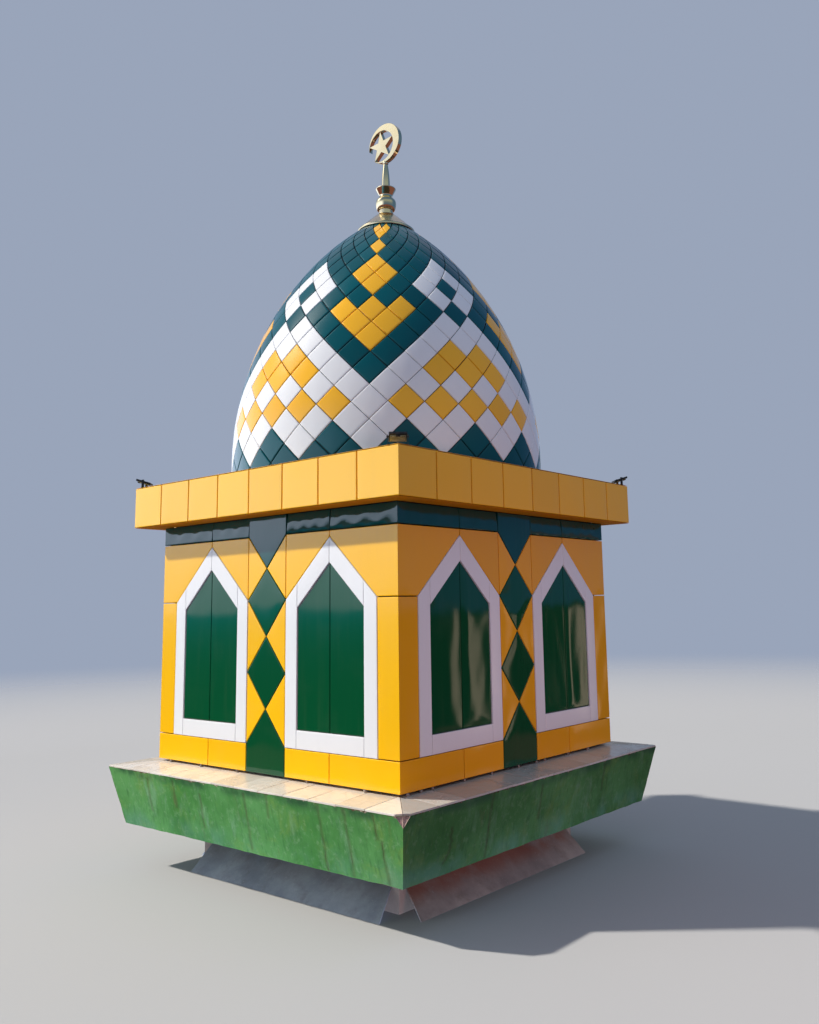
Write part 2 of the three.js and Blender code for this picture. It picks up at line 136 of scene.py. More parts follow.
# Dome: an upright foot and then an arc; the pattern repeats every six of its thirty columns
DOME_RADIUS = 1.250
DOME_SPRING = 3.000
DOME_ARC = 2.550
DOME_FOOT = bottom("dome")
DOME_LEVEL = 0.2574                       # height of one diamond along the profile
DOME_BASE_LINE = 2.912                    # where the rows are counted from
DOME_TOP_LENGTH = 2.560                   # profile length where the cap covers the rows
DOME_COLUMNS = 30
PATTERN_COLUMNS = 6
PATTERN_TURN = math.radians(37.3)
DOME_DEPTH = 0.014
DOME_CELL = 0.06
DOME_BEND = 0.0060
DOME_JOINTS = {"T": 0.0030, "W": 0.0016, "Y": 0.0026}
DOME_BULGE = 0.0015
DOME_RIPPLE = 0.0004
DOME_WAVE = 0.20
DOME_TILT = 0.0035
FULL_WIDTH = 0.15                         # narrower diamonds have smaller bends and bulges
SMALLEST = 0.3                            # down to this share
DOME_SHELL = 0.045
BACKING_RINGS = 48
BACKING_OVERLAP = 0.002
ROWS = {                                  # colours by distance from a heart's middle column
    -4: "TTTT", -3: "TTT", -2: "WTWT", -1: "WWW", 0: "WYYY", 1: "WWW", 2: "TWYY", 3: "TWY",
    4: "YTWT", 5: "YTW", 6: "YYTT", 7: "TTW", 8: "YTWT", 9: "YTW", 10: "YTTW", 11: "TTT",
    12: "YTTT", 13: "TTT", 14: "YTTT", 15: "YTT", 16: "TTTT",
}
ODD_DIAMONDS = {(4, -3): "W"}             # row and column where one diamond breaks the pattern

# Finial
CAP_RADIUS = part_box("finial_cap")[1].x
CAP_RIM = 5.035
MAST_FOOT = top("finial_cap")
MAST_TOP = top("finial_mast")
EMBLEM_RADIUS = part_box("finial_crescent_star")[1].x
EMBLEM_THICK = 2 * reach("finial_crescent_star")
EMBLEM_CENTRE = top("finial_crescent_star") - EMBLEM_RADIUS
EMBLEM_HOLLOW = 0.140
EMBLEM_OFFSET = 0.038
EMBLEM_OPENING = math.radians(206)
EMBLEM_STEPS = 180
TIP_GAP = 0.012                           # radians by which the crescent stops short of a point
CRESCENT_BEVEL = 0.0025
STAR_TURN = math.radians(94)
STAR_TIPS = EMBLEM_HOLLOW + 0.004
STAR_NOTCH = 0.054
STAR_THICK = EMBLEM_THICK - 0.002
STAR_BEVEL = 0.0018

# Ledge
LEDGE_BOTTOM = bottom("ledge_front")
LEDGE_BOTTOM_HALF = 1.417
LEDGE_TOP_HALF = reach("ledge_front")
LEDGE_TOP_EDGE = 0.728
LEDGE_TOP_WALL = top("ledge_front")
LEDGE_INNER = reach("neck_wall_front") - 0.110
LEDGE_SLAB = 0.120
LEDGE_FASCIA = 0.090
LEDGE_CELLS = (0.2, 0.1, 0.03, 0.018, 0.06, 0.3, 0.2)  # lengths along each edge of its section
LEDGE_STATIONS = 161
EVEN_SHARE = 0.65                         # the rest of their spacing narrows towards the corners
MITRE_GAP = 0.0003
CORE_HALF = reach("drum_wall_front")
LEAN = (LEDGE_TOP_HALF - LEDGE_BOTTOM_HALF) / (LEDGE_TOP_EDGE - LEDGE_BOTTOM)
FALL = (LEDGE_TOP_WALL - LEDGE_TOP_EDGE) / (LEDGE_TOP_HALF - CORE_HALF)
DENT = 0.0035                             # depths of the broad and the small dents in its face
FINE_DENT = 0.0018
SAG = 0.004                               # and how far its lower edge wanders up and down
CHIP_LEG = 0.065                          # the near corner's broken edge, along the top
CHIP_DROP = 0.066                         # and down the arris
CHIP_GAP = 0.004                          # from there to the tiles
BED_GAP = 0.008                           # and to their grout
# Painted shade: the ledge's paint, cracks and worn edge are made darker on the sides away from the sun
PAINTED_SHADE_BY_SIDE = {"front": 1.0, "right": 0.52, "back": 0.80, "left": 0.95}
# Coats and stains on the paint: noise, where they begin and where they are full, share and colour
PAINT_LAYERS = [
    ((3.4, 9.0, 0.7, None, 0.6), 0.50, 0.68, 0.55, (0.200, 0.330, 0.055)),
    ((1.0, 7.0, 0.65, (42, 42, 3.0)), 0.48, 0.72, 0.60, (0.048, 0.165, 0.040)),
    ((26.0, 6.0, 0.7), 0.52, 0.66, 0.35, (0.260, 0.430, 0.190)),
    ((1.0, 8.0, 0.7, (7, 7, 2.6)), 0.52, 0.72, 0.50, (0.250, 0.400, 0.230)),
    ((1.0, 6.0, 0.6, (13, 13, 1.0)), 0.60, 0.76, 0.50, (0.170, 0.125, 0.045)),
]
# Cracks on each side: where, from which height to which, their half width and how far they wander
CRACKS = {
    "front": [(0.100, 0.33, 0.72, 0.0022, 0.030), (0.330, 0.56, 0.74, 0.0026, 0.030),
              (0.810, 0.31, 0.74, 0.0034, 0.030), (1.035, 0.31, 0.74, 0.0030, 0.028),
              (1.275, 0.56, 0.74, 0.0036, 0.050), (1.315, 0.31, 0.58, 0.0040, 0.050),
              (-1.010, 0.44, 0.70, 0.0014, 0.030), (-0.690, 0.50, 0.72, 0.0014, 0.030),
              (-0.390, 0.40, 0.66, 0.0013, 0.030)],
    "right": [(-0.670, 0.31, 0.74, 0.0050, 0.040), (-1.060, 0.37, 0.60, 0.0030, 0.180),
              (0.706, 0.50, 0.72, 0.0014, 0.030), (-0.110, 0.45, 0.70, 0.0012, 0.030)],
    "back": [(-0.920, 0.31, 0.74, 0.0032, 0.040), (0.350, 0.40, 0.74, 0.0030, 0.040),
             (0.980, 0.31, 0.62, 0.0030, 0.040)],
    "left": [(-0.450, 0.31, 0.74, 0.0034, 0.040), (0.520, 0.45, 0.74, 0.0030, 0.040),
             (1.100, 0.31, 0.74, 0.0030, 0.030)],
}

# Tiles on the ledge, their bed, and dabs of mortar between them and the cladding
TILE_THICK = 0.012
TILE_PITCH = 0.242
TILE_TRAY = (0.0018, 0.0015, TILE_THICK - 0.001, 0.12)  # joint, bend, depth and cell
BED_TRAY = (CORNER_JOINT, 0.0008, TILE_THICK - 0.004, CELL)
TILE_TILT = 0.004
TILE_LIFT = 0.0006                        # foot of the bed, above the concrete
TILE_INNER = CORE_HALF + 0.004
TILE_OUTER = LEDGE_TOP_HALF - 0.001
BED_OUTER = TILE_OUTER - 0.003
FIRST_JOINT = 1.215
FIRST_SHIFT = 0.09
JOINT_SHIFT = 0.006
JOINTS = 12
LAST_JOINT = -1.5
BEYOND = 2.0                              # past every corner
TILE_DROP = 0.0008                        # faces of tiles and grout, below the top of the CAD's bed
BED_DROP = 0.0035
BED_ROUGH = 0.0008
DABS = {
    "front": (-1.10, -0.72, -0.30, 0.42, 0.95),
    "right": (-1.18, -1.06, -0.95, -0.63, -0.34, -0.03, 0.19, 0.30, 0.61, 0.90),
    "back": (-0.98, -0.55, -0.10, 0.33, 0.80, 1.12),
    "left": (-1.05, -0.60, -0.21, 0.25, 0.66, 1.08),
}

# Floodlights
LAMP_HALF = 0.056                         # half of the housing's width and of its height
LAMP_RIM = 0.009
LAMP_TILT = math.radians(73)
LAMP_PIVOT = 0.050
LAMP_REACH = (CORNICE - 0.046) * math.sqrt(2)
LAMP_FOOT = CORNICE_TOP + 0.0018
ARM = LAMP_HALF + 0.008
ARM_GAUGE = 0.003

# Studio: reflections come from screens, and soft light from lamps that leave none
FLOOR_RADIUS = 60.0
SKY_RADIUS = 400.0
SKY_LEVELS = (0, 1, 2, 3.5, 5, 7, 9, 12, 16, 20, 25, 30, 36, 43, 50, 60, 70, 80, 89.5)
EYE_LEVEL = 1.873
FLAG_RADIUS = 7.7                         # dark flags stand round the set
FLAG_LEVELS = (0.0, 0.4, 0.8, 1.1, 1.35, 1.55, 1.7, EYE_LEVEL)
FLAG_SEGMENTS = 240
FLAG_WAVE = 0.10
WORLD_COLOUR = (0.32, 0.375, 0.49, 1.0)
SUN = Vector((-0.562, -0.449, 0.695)).normalized()
SUN_COLOUR = (1.0, 0.965, 0.90)
SUN_ENERGY = 4.5
SUN_ANGLE = math.radians(2.0)
FLOOR_COLOUR = (0.42, 0.41, 0.40, 1.0)
# Discs that shine into the gloss or on the soffits: inner and outer radius, height, glow, and whether
# diffuse and glossy rays see them
DISCS = {
    "dark_floor": (0.02, FLAG_RADIUS, -0.004, (0.050, 0.042, 0.036), True, True),
    "far_ground": (5.4, SKY_RADIUS, -0.003, (0.19, 0.085, 0.075), False, True),
    "skirt_fill": (1.15, 2.6, -0.002, (0.462, 0.651, 0.994), True, False),
}
# Warm strips among the flags: place, width and height from and to
STRIPS = [(4.80, 4.06, 0.22, 0.25, 1.83), (5.30, 5.05, 0.20, 0.25, 1.78), (4.20, 5.60, 0.32, 0.25, 1.83)]
STRIP_TAPER = 0.8
# Fill lamps: place, aim, size, colour, energy and spread
FILLS = {
    "fill_right": ((7.0, -2.2, 0.7), (1.25, 0.2, 1.3), 2.0, (1.0, 0.27, 0.22), 10.0, 60.0),
    "fill_left": ((-5.0, -6.5, 2.2), (0.0, -1.0, 1.6), 3.0, (0.95, 1.0, 1.0), 26.0, 80.0),
    "fill_above": ((4.0, 2.5, 11.0), (0.0, 0.0, 4.0), 5.0, (0.25, 0.58, 1.0), 38.0, 180.0),
}

# Camera solved from the photograph's corners
IMAGE_WIDTH, IMAGE_HEIGHT = 819, 1024
CAMERA_PLACE = (5.0438, -5.3650, 1.8733)
CAMERA_YAW, CAMERA_PITCH, CAMERA_ROLL = (math.radians(a) for a in (39.098, 8.723, -1.129))
FOCAL_PIXELS = 903.77
PRINCIPAL_POINT = (452.79, 468.41)
SENSOR = 36.0

rng = np.random.default_rng(20)


# Materials
def linear(red, green, blue):
    """A colour given in display values from 0 to 255, for a shader."""
    values = [c / 255 for c in (red, green, blue)]
    return [c / 12.92 if c <= 0.04045 else ((c + 0.055) / 1.055) ** 2.4 for c in values] + [1.0]


def scaled(colour, factor):
    return [min(1.0, c * factor) for c in colour[:3]] + [1.0]


class Graph:
    """The nodes of one material, with a shader joined to the output."""

    def __init__(self, name, kind="ShaderNodeBsdfPrincipled"):
        self.material = bpy.data.materials.new(name)
        self.material.use_nodes = True
        self.tree = self.material.node_tree
        self.tree.nodes.clear()
        self.shader = self.add(kind)
        self.surface = self.add("ShaderNodeOutputMaterial").inputs["Surface"]
        self.feed(self.surface, self.shader.outputs[0])
        self.place = self.add("ShaderNodeTexCoord").outputs["Object"]

    def feed(self, socket, value):
        """Links an input to an output, or gives it a value."""
        if isinstance(value, bpy.types.NodeSocket):
            self.tree.links.new(value, socket)
        else:
            socket.default_value = value

    def add(self, kind, inputs=None, **settings):
        node = self.tree.nodes.new(kind)
        for key, value in settings.items():
            setattr(node, key, value)
        for key, value in (inputs or {}).items():
            self.feed(node.inputs[key], value)
        return node

    def set(self, **values):
        """Sets the shader's inputs: Base_Color=..., Roughness=..., from a number, colour or socket."""
        for key, value in values.items():
            self.feed(self.shader.inputs[key.replace("_", " ")], value)

    def maths(self, operation, a, b=0.0):
        return self.add("ShaderNodeMath", {0: a, 1: b}, operation=operation).outputs[0]

    def times(self, a, b):
        return self.maths("MULTIPLY", a, b)

    def noise(self, scale, detail=3.0, roughness=0.55, stretch=None, distortion=0.0):
        place = self.place
        if stretch:
            node = self.add("ShaderNodeVectorMath", {0: place, 1: stretch}, operation="MULTIPLY")
            place = node.outputs[0]
        inputs = {"Vector": place, "Scale": scale, "Detail": detail, "Roughness": roughness,
                  "Distortion": distortion}
        return self.add("ShaderNodeTexNoise", inputs).outputs[0]

    def span(self, value, low, high, to_low=0.0, to_high=1.0):
        inputs = {"Value": value, "From Min": low, "From Max": high, "To Min": to_low, "To Max": to_high}
        return self.add("ShaderNodeMapRange", inputs, interpolation_type="SMOOTHSTEP").outputs[0]

    def mix(self, factor, a, b):
        return self.add("ShaderNodeMix", {0: factor, 6: a, 7: b}, data_type="RGBA").outputs[2]

    def over(self, base, mask, share, colour):
        """The base with a share of another colour laid over it where the mask is 1."""
        return self.mix(self.times(mask, share), base, colour)

    def bump(self, height, distance, strength=1.0):
        node = self.add("ShaderNodeBump", {"Height": height, "Distance": distance, "Strength": strength})
        self.set(Normal=node.outputs[0])

    def axes(self):
        return self.add("ShaderNodeSeparateXYZ", {0: self.place}).outputs

    def attribute(self, name, output):
        return self.add("ShaderNodeAttribute", attribute_name=name).outputs[output]


def enamel(name, colour, spread=0.05, roughness=0.10, specular=0.5, dust=1.0):
    """Glossy enamelled sheet: the tone differs a little from tray to tray, under a thin film of dust."""
    g = Graph(name)
    base = g.mix(g.attribute("tone", "Fac"), scaled(colour, 1 - spread), scaled(colour, 1 + spread))
    runs = g.span(g.noise(1.0, 5.0, 0.6, (16, 16, 1.1)), 0.45, 0.8)
    base = g.over(base, runs, 0.022 * dust, linear(150, 138, 120))
    cloud = g.noise(3.2, 5.0)
    base = g.over(base, g.span(cloud, 0.5, 0.85), 0.02 * dust, linear(170, 160, 150))
    g.set(Base_Color=base, Roughness=g.span(cloud, 0.3, 0.75, roughness * 0.75, roughness * 1.5),
          Specular_IOR_Level=specular)
    g.bump(g.noise(240.0, 2.0), 0.00012, 0.5)
    return g.material


def bare_concrete(name, shown, scale=1.0, roughness=0.92):
    """Cement render or broken concrete: cloudy, streaked by runs, speckled with grit and pitted."""
    g = Graph(name)
    colour = linear(*shown)
    cloud = g.noise(2.4 * scale, 8.0, 0.65)
    base = g.mix(g.span(cloud, 0.25, 0.75), scaled(colour, 0.62), scaled(colour, 1.18))
    runs = g.span(g.noise(1.3, 6.0, 0.6, (9, 9, 1)), 0.5, 0.78)
    base = g.over(base, runs, 0.35, scaled(colour, 0.45))
    grit = g.noise(150.0, 4.0, 0.7)
    base = g.over(base, g.span(grit, 0.55, 0.75), 0.3, scaled(colour, 0.5))
    g.set(Base_Color=base, Roughness=roughness)
    g.bump(grit, 0.0016)
    return g.material


def tile_material(name, dark, light):
    """Glazed floor tile, cream with a faint cloudy vein, dusty and slightly different from tile to tile."""
    g = Graph(name)
    base = g.mix(g.attribute("tone", "Fac"), linear(*dark), linear(*light))
    vein = g.span(g.noise(7.0, 9.0, 0.7, None, 1.6), 0.46, 0.62)
    base = g.over(base, vein, 0.22, linear(178, 160, 138))
    dirt = g.span(g.noise(2.3, 8.0, 0.65), 0.5, 0.75)
    base = g.over(base, dirt, 0.4, linear(140, 122, 104))
    g.set(Base_Color=base, Roughness=g.span(dirt, 0.0, 1.0, 0.22, 0.55))
    g.bump(vein, 0.0004)
    return g.material


def gold_material(name, low, high):
    """Gilded steel: mirror-like, with faint scuffs and a film that dulls it in patches."""
    g = Graph(name)
    film = g.noise(9.0, 6.0, 0.6)
    base = g.mix(g.span(film, 0.35, 0.7), (0.90, 0.76, 0.47, 1.0), (0.84, 0.68, 0.38, 1.0))
    g.set(Base_Color=base, Metallic=1.0, Roughness=g.span(film, 0.3, 0.75, low, high))
    g.bump(g.noise(60.0, 4.0, 0.6), 0.0002)
    return g.material


def mottled(name, cloud, limits, dark, light, roughness, grain, rise, metallic=0.0):
    """Two tones that mix where a cloud lies between limits, with a bump from a grain or from the cloud."""
    g = Graph(name)
    mask = g.span(g.noise(*cloud), *limits)
    g.set(Base_Color=g.mix(mask, linear(*dark), linear(*light)), Roughness=roughness, Metallic=metallic)
    g.bump(g.noise(*grain) if grain else mask, rise)
    return g.material


def board_material(name, dark, light, rust, amount):
    """Cement board: blotched, stained, reddish under the ledge and flecked with paler drips."""
    g = Graph(name)
    base = g.mix(g.span(g.noise(2.0, 8.0, 0.65), 0.3, 0.7), linear(*dark), linear(*light))
    base = g.over(base, g.span(g.noise(4.2, 8.0, 0.7), 0.46, 0.70), 0.45, linear(104, 88, 80))
    red = g.times(g.span(g.axes()[2], 0.035, 0.13), g.span(g.noise(3.0, 6.0), 0.36, 0.6))
    base = g.over(base, red, amount, linear(*rust))
    base = g.over(base, g.span(g.noise(60.0, 3.0), 0.66, 0.74), 0.5, linear(196, 192, 184))
    g.set(Base_Color=base, Roughness=0.85)
    g.bump(g.noise(40.0, 6.0, 0.6), 0.0014)
    return g.material


def crack_marks(g, side, z):
    """How strongly each point of a side is marked by its cracks and the stains beside them."""
    x, y = g.axes()[:2]
    u = g.times(x if side in ("front", "back") else y, 1.0 if side in ("front", "right") else -1.0)
    total = 0.0
    for place, low, high, half, sway in CRACKS[side]:
        inputs = {"W": g.maths("ADD", z, place * 7.0), "Scale": 5.0, "Detail": 4.0, "Roughness": 0.6}
        wander = g.add("ShaderNodeTexNoise", inputs, noise_dimensions="1D").outputs[0]
        line = g.times(g.maths("SUBTRACT", wander, 0.5), sway)
        gap = g.maths("ABSOLUTE", g.maths("SUBTRACT", g.maths("SUBTRACT", u, place), line))
        within = g.times(g.span(z, low, low + 0.02), g.span(z, high, high - 0.02))
        broken = g.span(g.noise(14.0, 4.0, 0.6), 0.40, 0.60, 0.15, 0.75)
        crack = g.times(g.times(g.span(gap, half, half * 0.3), within), broken)
        stain = g.times(g.span(gap, 0.026, 0.0, 0.0, 0.34), within)
        total = g.maths("MAXIMUM", total, g.maths("MAXIMUM", crack, stain))
    return total


def painted_concrete(side):
    """Weathered green paint: cloudy, brushed and streaked, dark with grime under the tiles, cracked,
    and worn to the render along the top edge."""
    g = Graph(f"painted_concrete_{side}")
    z = g.axes()[2]
    # painted shade: every colour of this side's paint is darkened by the side's factor
    shade = PAINTED_SHADE_BY_SIDE[side]
    cloud = g.noise(2.2, 9.0, 0.62)
    greens = [scaled(c, shade) for c in ((0.066, 0.240, 0.042), (0.130, 0.345, 0.092))]
    base = g.mix(g.span(cloud, 0.30, 0.70), *greens)
    for pattern, low, high, share, colour in PAINT_LAYERS:
        base = g.over(base, g.span(g.noise(*pattern), low, high), share, scaled(colour, shade))
    damp = g.times(g.span(z, 0.50, 0.34), g.span(g.noise(3.1, 5.0), 0.42, 0.66))
    base = g.over(base, damp, 0.30, (0.130, 0.270, 0.230, 1))
    grime = g.times(g.span(z, 0.655, 0.715), g.span(g.noise(5.0, 6.0), 0.35, 0.60))
    base = g.over(base, grime, 0.75, (0.022, 0.070, 0.030, 1))
    cracks = crack_marks(g, side, z)
    base = g.mix(cracks, base, scaled((0.085, 0.058, 0.026), shade))
    ragged = g.maths("ADD", z, g.span(g.noise(22.0, 6.0, 0.7), 0.3, 0.8, -0.012, 0.020))
    edge = [scaled(linear(*c), shade) for c in ((96, 66, 44), (186, 168, 142))]
    base = g.mix(g.span(ragged, 0.724, 0.732), base, g.mix(g.span(g.noise(30.0, 4.0), 0.48, 0.66), *edge))
    g.set(Base_Color=base, Roughness=g.span(cloud, 0.3, 0.7, 0.55, 0.85), Specular_IOR_Level=0.2)
    g.bump(g.maths("SUBTRACT", g.times(g.noise(90.0, 6.0, 0.7), 0.5), g.times(cracks, 1.4)), 0.0022)
    return g.material


YELLOW = enamel("yellow_enamel", (0.95, 0.500, 0.006))
# Painted shade: a darker, deeper copy of the yellow enamel for the drum's shaded right side
PAINTED_SHADE_YELLOW = enamel("painted_shade_yellow_enamel", (0.86, 0.385, 0.009))
# The cornice's yellow on its sunny sides; its shaded sides take the darker dome yellow as painted shade
SUNNY_SIDE_CORNICE_YELLOW = enamel("sunny_side_cornice_enamel", (0.98, 0.530, 0.026), roughness=0.12)
DOME_YELLOW = enamel("dome_yellow_enamel", (0.93, 0.465, 0.016))
# Painted shade: the cornice's yellow, made darker, browner and duller for its shaded underside
SOFFIT_PAINTED_SHADE_YELLOW = enamel("soffit_painted_shade_enamel", (0.76, 0.25, 0.004), roughness=0.50, specular=0.06)
WHITE = enamel("white_enamel", (0.80, 0.79, 0.79), spread=0.02, roughness=0.16)
GREEN = enamel("green_enamel", (0.0008, 0.070, 0.0230), spread=0.06, roughness=0.05, specular=0.6)
FRIEZE_GREEN = enamel("frieze_enamel", (0.0016, 0.066, 0.056), spread=0.06, roughness=0.05, specular=0.6)
TEAL = enamel("teal_enamel", (0.0011, 0.074, 0.088), 0.16, roughness=0.12, specular=0.32, dust=0.3)
MASONRY = bare_concrete("cement_render", (150, 142, 130))
# Peach cement render of the neck, darkened as painted shade under the ledge
NECK_RENDER_AND_SHADE = bare_concrete("neck_render_and_shade", (164, 138, 120))
BROKEN = bare_concrete("broken_concrete", (176, 150, 138), 6.0)
MORTAR = bare_concrete("mortar", (150, 138, 126), 9.0)
BACKING = bare_concrete("dome_backing", (52, 52, 54), 2.0, 0.7)
TILE = tile_material("cream_tile", (206, 196, 180), (230, 220, 206))
# Painted shade: a darker, greyer copy of the cream tile for the shaded right side
PAINTED_SHADE_TILE = tile_material("painted_shade_tile", (172, 167, 158), (194, 189, 180))
GROUT = mottled("tile_grout", (14.0, 8.0, 0.7), (0.35, 0.65), (96, 70, 52), (168, 150, 132), 0.95,
                (180.0, 4.0), 0.0012)
GOLD = gold_material("polished_gold", 0.06, 0.13)
CAP_GOLD = gold_material("cap_gold", 0.16, 0.26)
GREY_BOARD = board_material("cement_board", (132, 136, 142), (180, 182, 184), (120, 104, 98), 0.40)
RUDDY_BOARD = board_material("ruddy_board", (134, 122, 116), (178, 162, 150), (150, 84, 58), 0.75)
LAMP = mottled("lamp_black", (40.0, 6.0, 0.6), (0.4, 0.75), (24, 24, 26), (66, 62, 56), 0.38,
               (400.0, 2.0), 0.0002, 0.1)
LAMP_GLASS = mottled("lamp_glass", (25.0, 6.0, 0.6), (0.4, 0.8), (60, 62, 60), (120, 116, 104), 0.08,
                     None, 0.0001)
# The cover is pale and chalky, and its olive tint is a painted reflection of the yellow cornice below
LAMP_COVER = mottled("lamp_cover", (30.0, 6.0, 0.6), (0.35, 0.7), (150, 148, 104), (196, 192, 150), 0.55,
                     (300.0, 3.0), 0.0002)


# Meshes
def smoothstep(x):
    x = np.clip(x, 0.0, 1.0)
    return x * x * (3.0 - 2.0 * x)


def finished(bm, mesh, sharp):
    """The mesh filled from bm and shaded smooth, but for edges sharper than an angle in degrees."""
    bm.to_mesh(mesh)
    bm.free()
    mesh.polygons.foreach_set("use_smooth", np.ones(len(mesh.polygons), bool))
    mesh.set_sharp_from_angle(angle=math.radians(sharp))
    return mesh


def once(items):
    """The items without repeats, in their order."""
    return list(dict.fromkeys(items))


def bevelled(bm, edges, width):
    """Rounds edges in two steps, and gives the vertices that this makes."""
    made = bmesh.ops.bevel(bm, geom=edges, offset=width, segments=2, profile=0.5, affect="EDGES")
    return made["verts"]


def mesh_of(name, points, faces, tones=None, sharp=35.0, weld=False):
    """A mesh with its normals outwards, and one tone for each point where tones are given."""
    mesh = bpy.data.meshes.new(name)
    mesh.from_pydata(np.asarray(points, float).tolist(), [], [list(map(int, f)) for f in faces])
    if tones:
        attribute = mesh.attributes.new("tone", "FLOAT", "POINT")
        attribute.data.foreach_set("value", np.asarray(tones, np.float32))
    bm = bmesh.new()
    bm.from_mesh(mesh)
    if weld:
        bmesh.ops.remove_doubles(bm, verts=bm.verts, dist=1e-5)
    bmesh.ops.recalc_face_normals(bm, faces=bm.faces)
    return finished(bm, mesh, sharp)


def bands(rows, count):
    """Faces between successive closed rows of count points."""
    after = [*range(1, count), 0]
    return [(i * count + j, i * count + after[j], (i + 1) * count + after[j], (i + 1) * count + j)
            for i in range(rows - 1) for j in range(count)]


def turned(profile, count):
    """Points and faces of a surface turned about the vertical axis from pairs of radius and height."""
    turns = np.arange(count) * 2 * math.pi / count
    points = [(r * math.sin(t), -r * math.cos(t), z) for r, z in profile for t in turns]
    return points, bands(len(profile), count)


def lathe_mesh(name, profile, count=96):
    return mesh_of(name, *turned(profile, count), sharp=40.0, weld=True)


def placed(name, data):
    """A new object in the scene."""
    thing = bpy.data.objects.new(name, data)
    bpy.context.scene.collection.objects.link(thing)
    return thing


def add_piece(mesh, materials, replaces=()):
    """A piece named like its mesh, in place of the nodes that it replaces."""
    thing = placed(mesh.name, mesh)
    for material in materials:
        mesh.materials.append(material)
    if replaces:
        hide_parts(*replaces)
    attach(thing, "root")


class Batch:
    """Collects many small closed meshes into one."""

    def __init__(self):
        self.points, self.faces, self.tones, self.count = [], [], [], 0

    def add(self, points, faces, tone=0.5):
        self.points.append(points)
        self.faces += [[i + self.count for i in face] for face in faces]
        self.tones += [tone] * len(points)
        self.count += len(points)

    def mesh(self, name):
        return mesh_of(name, np.concatenate(self.points), self.faces, self.tones)


def edges_of(outline):
    return list(zip(outline, outline[1:] + outline[:1]))


def clipped(outline, normal, limit):
    """The part of a convex outline where the dot product with normal is at most limit."""
    kept = []
    for a, b in edges_of(outline):
        da, db = (p[0] * normal[0] + p[1] * normal[1] - limit for p in (a, b))
        if da <= 0:
            kept.append(a)
        if (da < 0 < db) or (db < 0 < da):
            t = da / (da - db)
            kept.append((a[0] + t * (b[0] - a[0]), a[1] + t * (b[1] - a[1])))
    return kept


def mitred(outline):
    """The part of a level outline, given as (across, depth), that lies on its own side of both corners."""
    return clipped(clipped(outline, (1, -1), 0.0), (-1, -1), 0.0)


def tidied(outline, shortest=0.004):
    """The outline without points that lie almost on top of the one before."""
    return [p for p, q in zip(outline, outline[-1:] + outline[:-1]) if math.dist(p, q) > shortest]


def inset(outline, distances):
    """The convex outline, anticlockwise, with each edge moved in by its own distance."""
    lines = []
    for (a, b), distance in zip(edges_of(outline), distances):
        along = (Vector(b) - Vector(a)).normalized()
        lines.append((Vector(a) + Vector((-along.y, along.x)) * distance, along))
    corners = []
    for (p, d), (q, e) in zip(lines[-1:] + lines[:-1], lines):
        t = (q - p).cross(e) / d.cross(e)
        corners.append(p + d * t)
    return corners


class Tray:
    """A closed folded-sheet tray in its own plane: its face at height 0, its back below, its edges bent
    round a radius, and its face divided into cells so that it can be bent to a surface. The joint is one
    half width or one for each edge."""

    def __init__(self, outline, joint, bend, depth, cell):
        joints = np.broadcast_to(joint, len(outline)).tolist()
        if sum(a[0] * b[1] - b[0] * a[1] for a, b in edges_of(outline)) < 0:
            outline, joints = outline[::-1], joints[-2::-1] + joints[-1:]
        rings = [(0.0, -depth)]
        for angle in np.radians([0, 30, 60, 90]):
            rings.append((bend * (1 - math.cos(angle)), -bend * (1 - math.sin(angle))))
        rings.append((bend + LAND * bend / WALL_BEND, 0.0))
        bm = bmesh.new()
        loops = []
        for grow, height in rings:
            distances = [j + grow * (CORNER_BEND if j == CORNER_JOINT else 1.0) for j in joints]
            loops.append([bm.verts.new((p.x, p.y, height)) for p in inset(outline, distances)])
        for below, above in zip(loops, loops[1:]):
            for (a, b), (c, d) in zip(edges_of(below), edges_of(above)):
                bm.faces.new((a, b, d, c))
        bm.faces.new(loops[-1])
        bm.faces.new(loops[0][::-1])
        for axis in (0, 1):
            low, high = min(p[axis] for p in outline), max(p[axis] for p in outline)
            parts = max(1, math.ceil((high - low) / cell))
            normal = Vector((1 - axis, axis, 0))
            for i in range(1, parts):
                geometry = bm.verts[:] + bm.edges[:] + bm.faces[:]
                at = normal * (low + (high - low) * i / parts)
                bmesh.ops.bisect_plane(bm, geom=geometry, dist=TOUCH, plane_co=at, plane_no=normal)
        bm.verts.index_update()
        self.points = np.array([v.co[:] for v in bm.verts])
        self.faces = [[v.index for v in f.verts] for f in bm.faces]
        bm.free()
        self.edge = np.full(len(self.points), np.inf)
        for a, b in edges_of(outline):
            along = (Vector(b) - Vector(a)).normalized()
            offset = self.points[:, :2] - np.array(a)
            self.edge = np.minimum(self.edge, offset @ np.array((-along.y, along.x)))

    def bent(self, bulge, ripple, across, along, draws=rng):
        """The points with the face bulged and rippled, more towards the middle than at the edges."""
        points = self.points.copy()
        wave = np.zeros(len(points))
        for _ in range(WAVES):
            turn_a, turn_b = draws.uniform(-1, 1, 2)
            phase = draws.uniform(0, 2 * math.pi)
            cycles = points[:, 0] * turn_a / across + points[:, 1] * turn_b / along
            wave += np.sin(2 * math.pi * cycles + phase)
        weight = smoothstep(self.edge / RISE) * (points[:, 2] > -TOUCH)
        points[:, 2] += weight * (bulge * draws.uniform(0.4, 1.0) + ripple * wave / math.sqrt(WAVES))
        return points

    def rippled(self, kind, side, draws=rng):
        """The points bent as trays of that kind are on that side."""
        bulge, ripple, deeper, across, along = RIPPLES[kind]
        return self.bent(bulge, deeper.get(side, ripple), across, along, draws)


def on_side(side, across, depth, height):
    """World points of a side: across runs to the right as one faces the side from outside."""
    x, y = [(across, -depth), (depth, across), (-across, depth), (-depth, -across)][SIDES.index(side)]
    return np.stack([x, y, np.broadcast_to(height, np.shape(x))], 1)


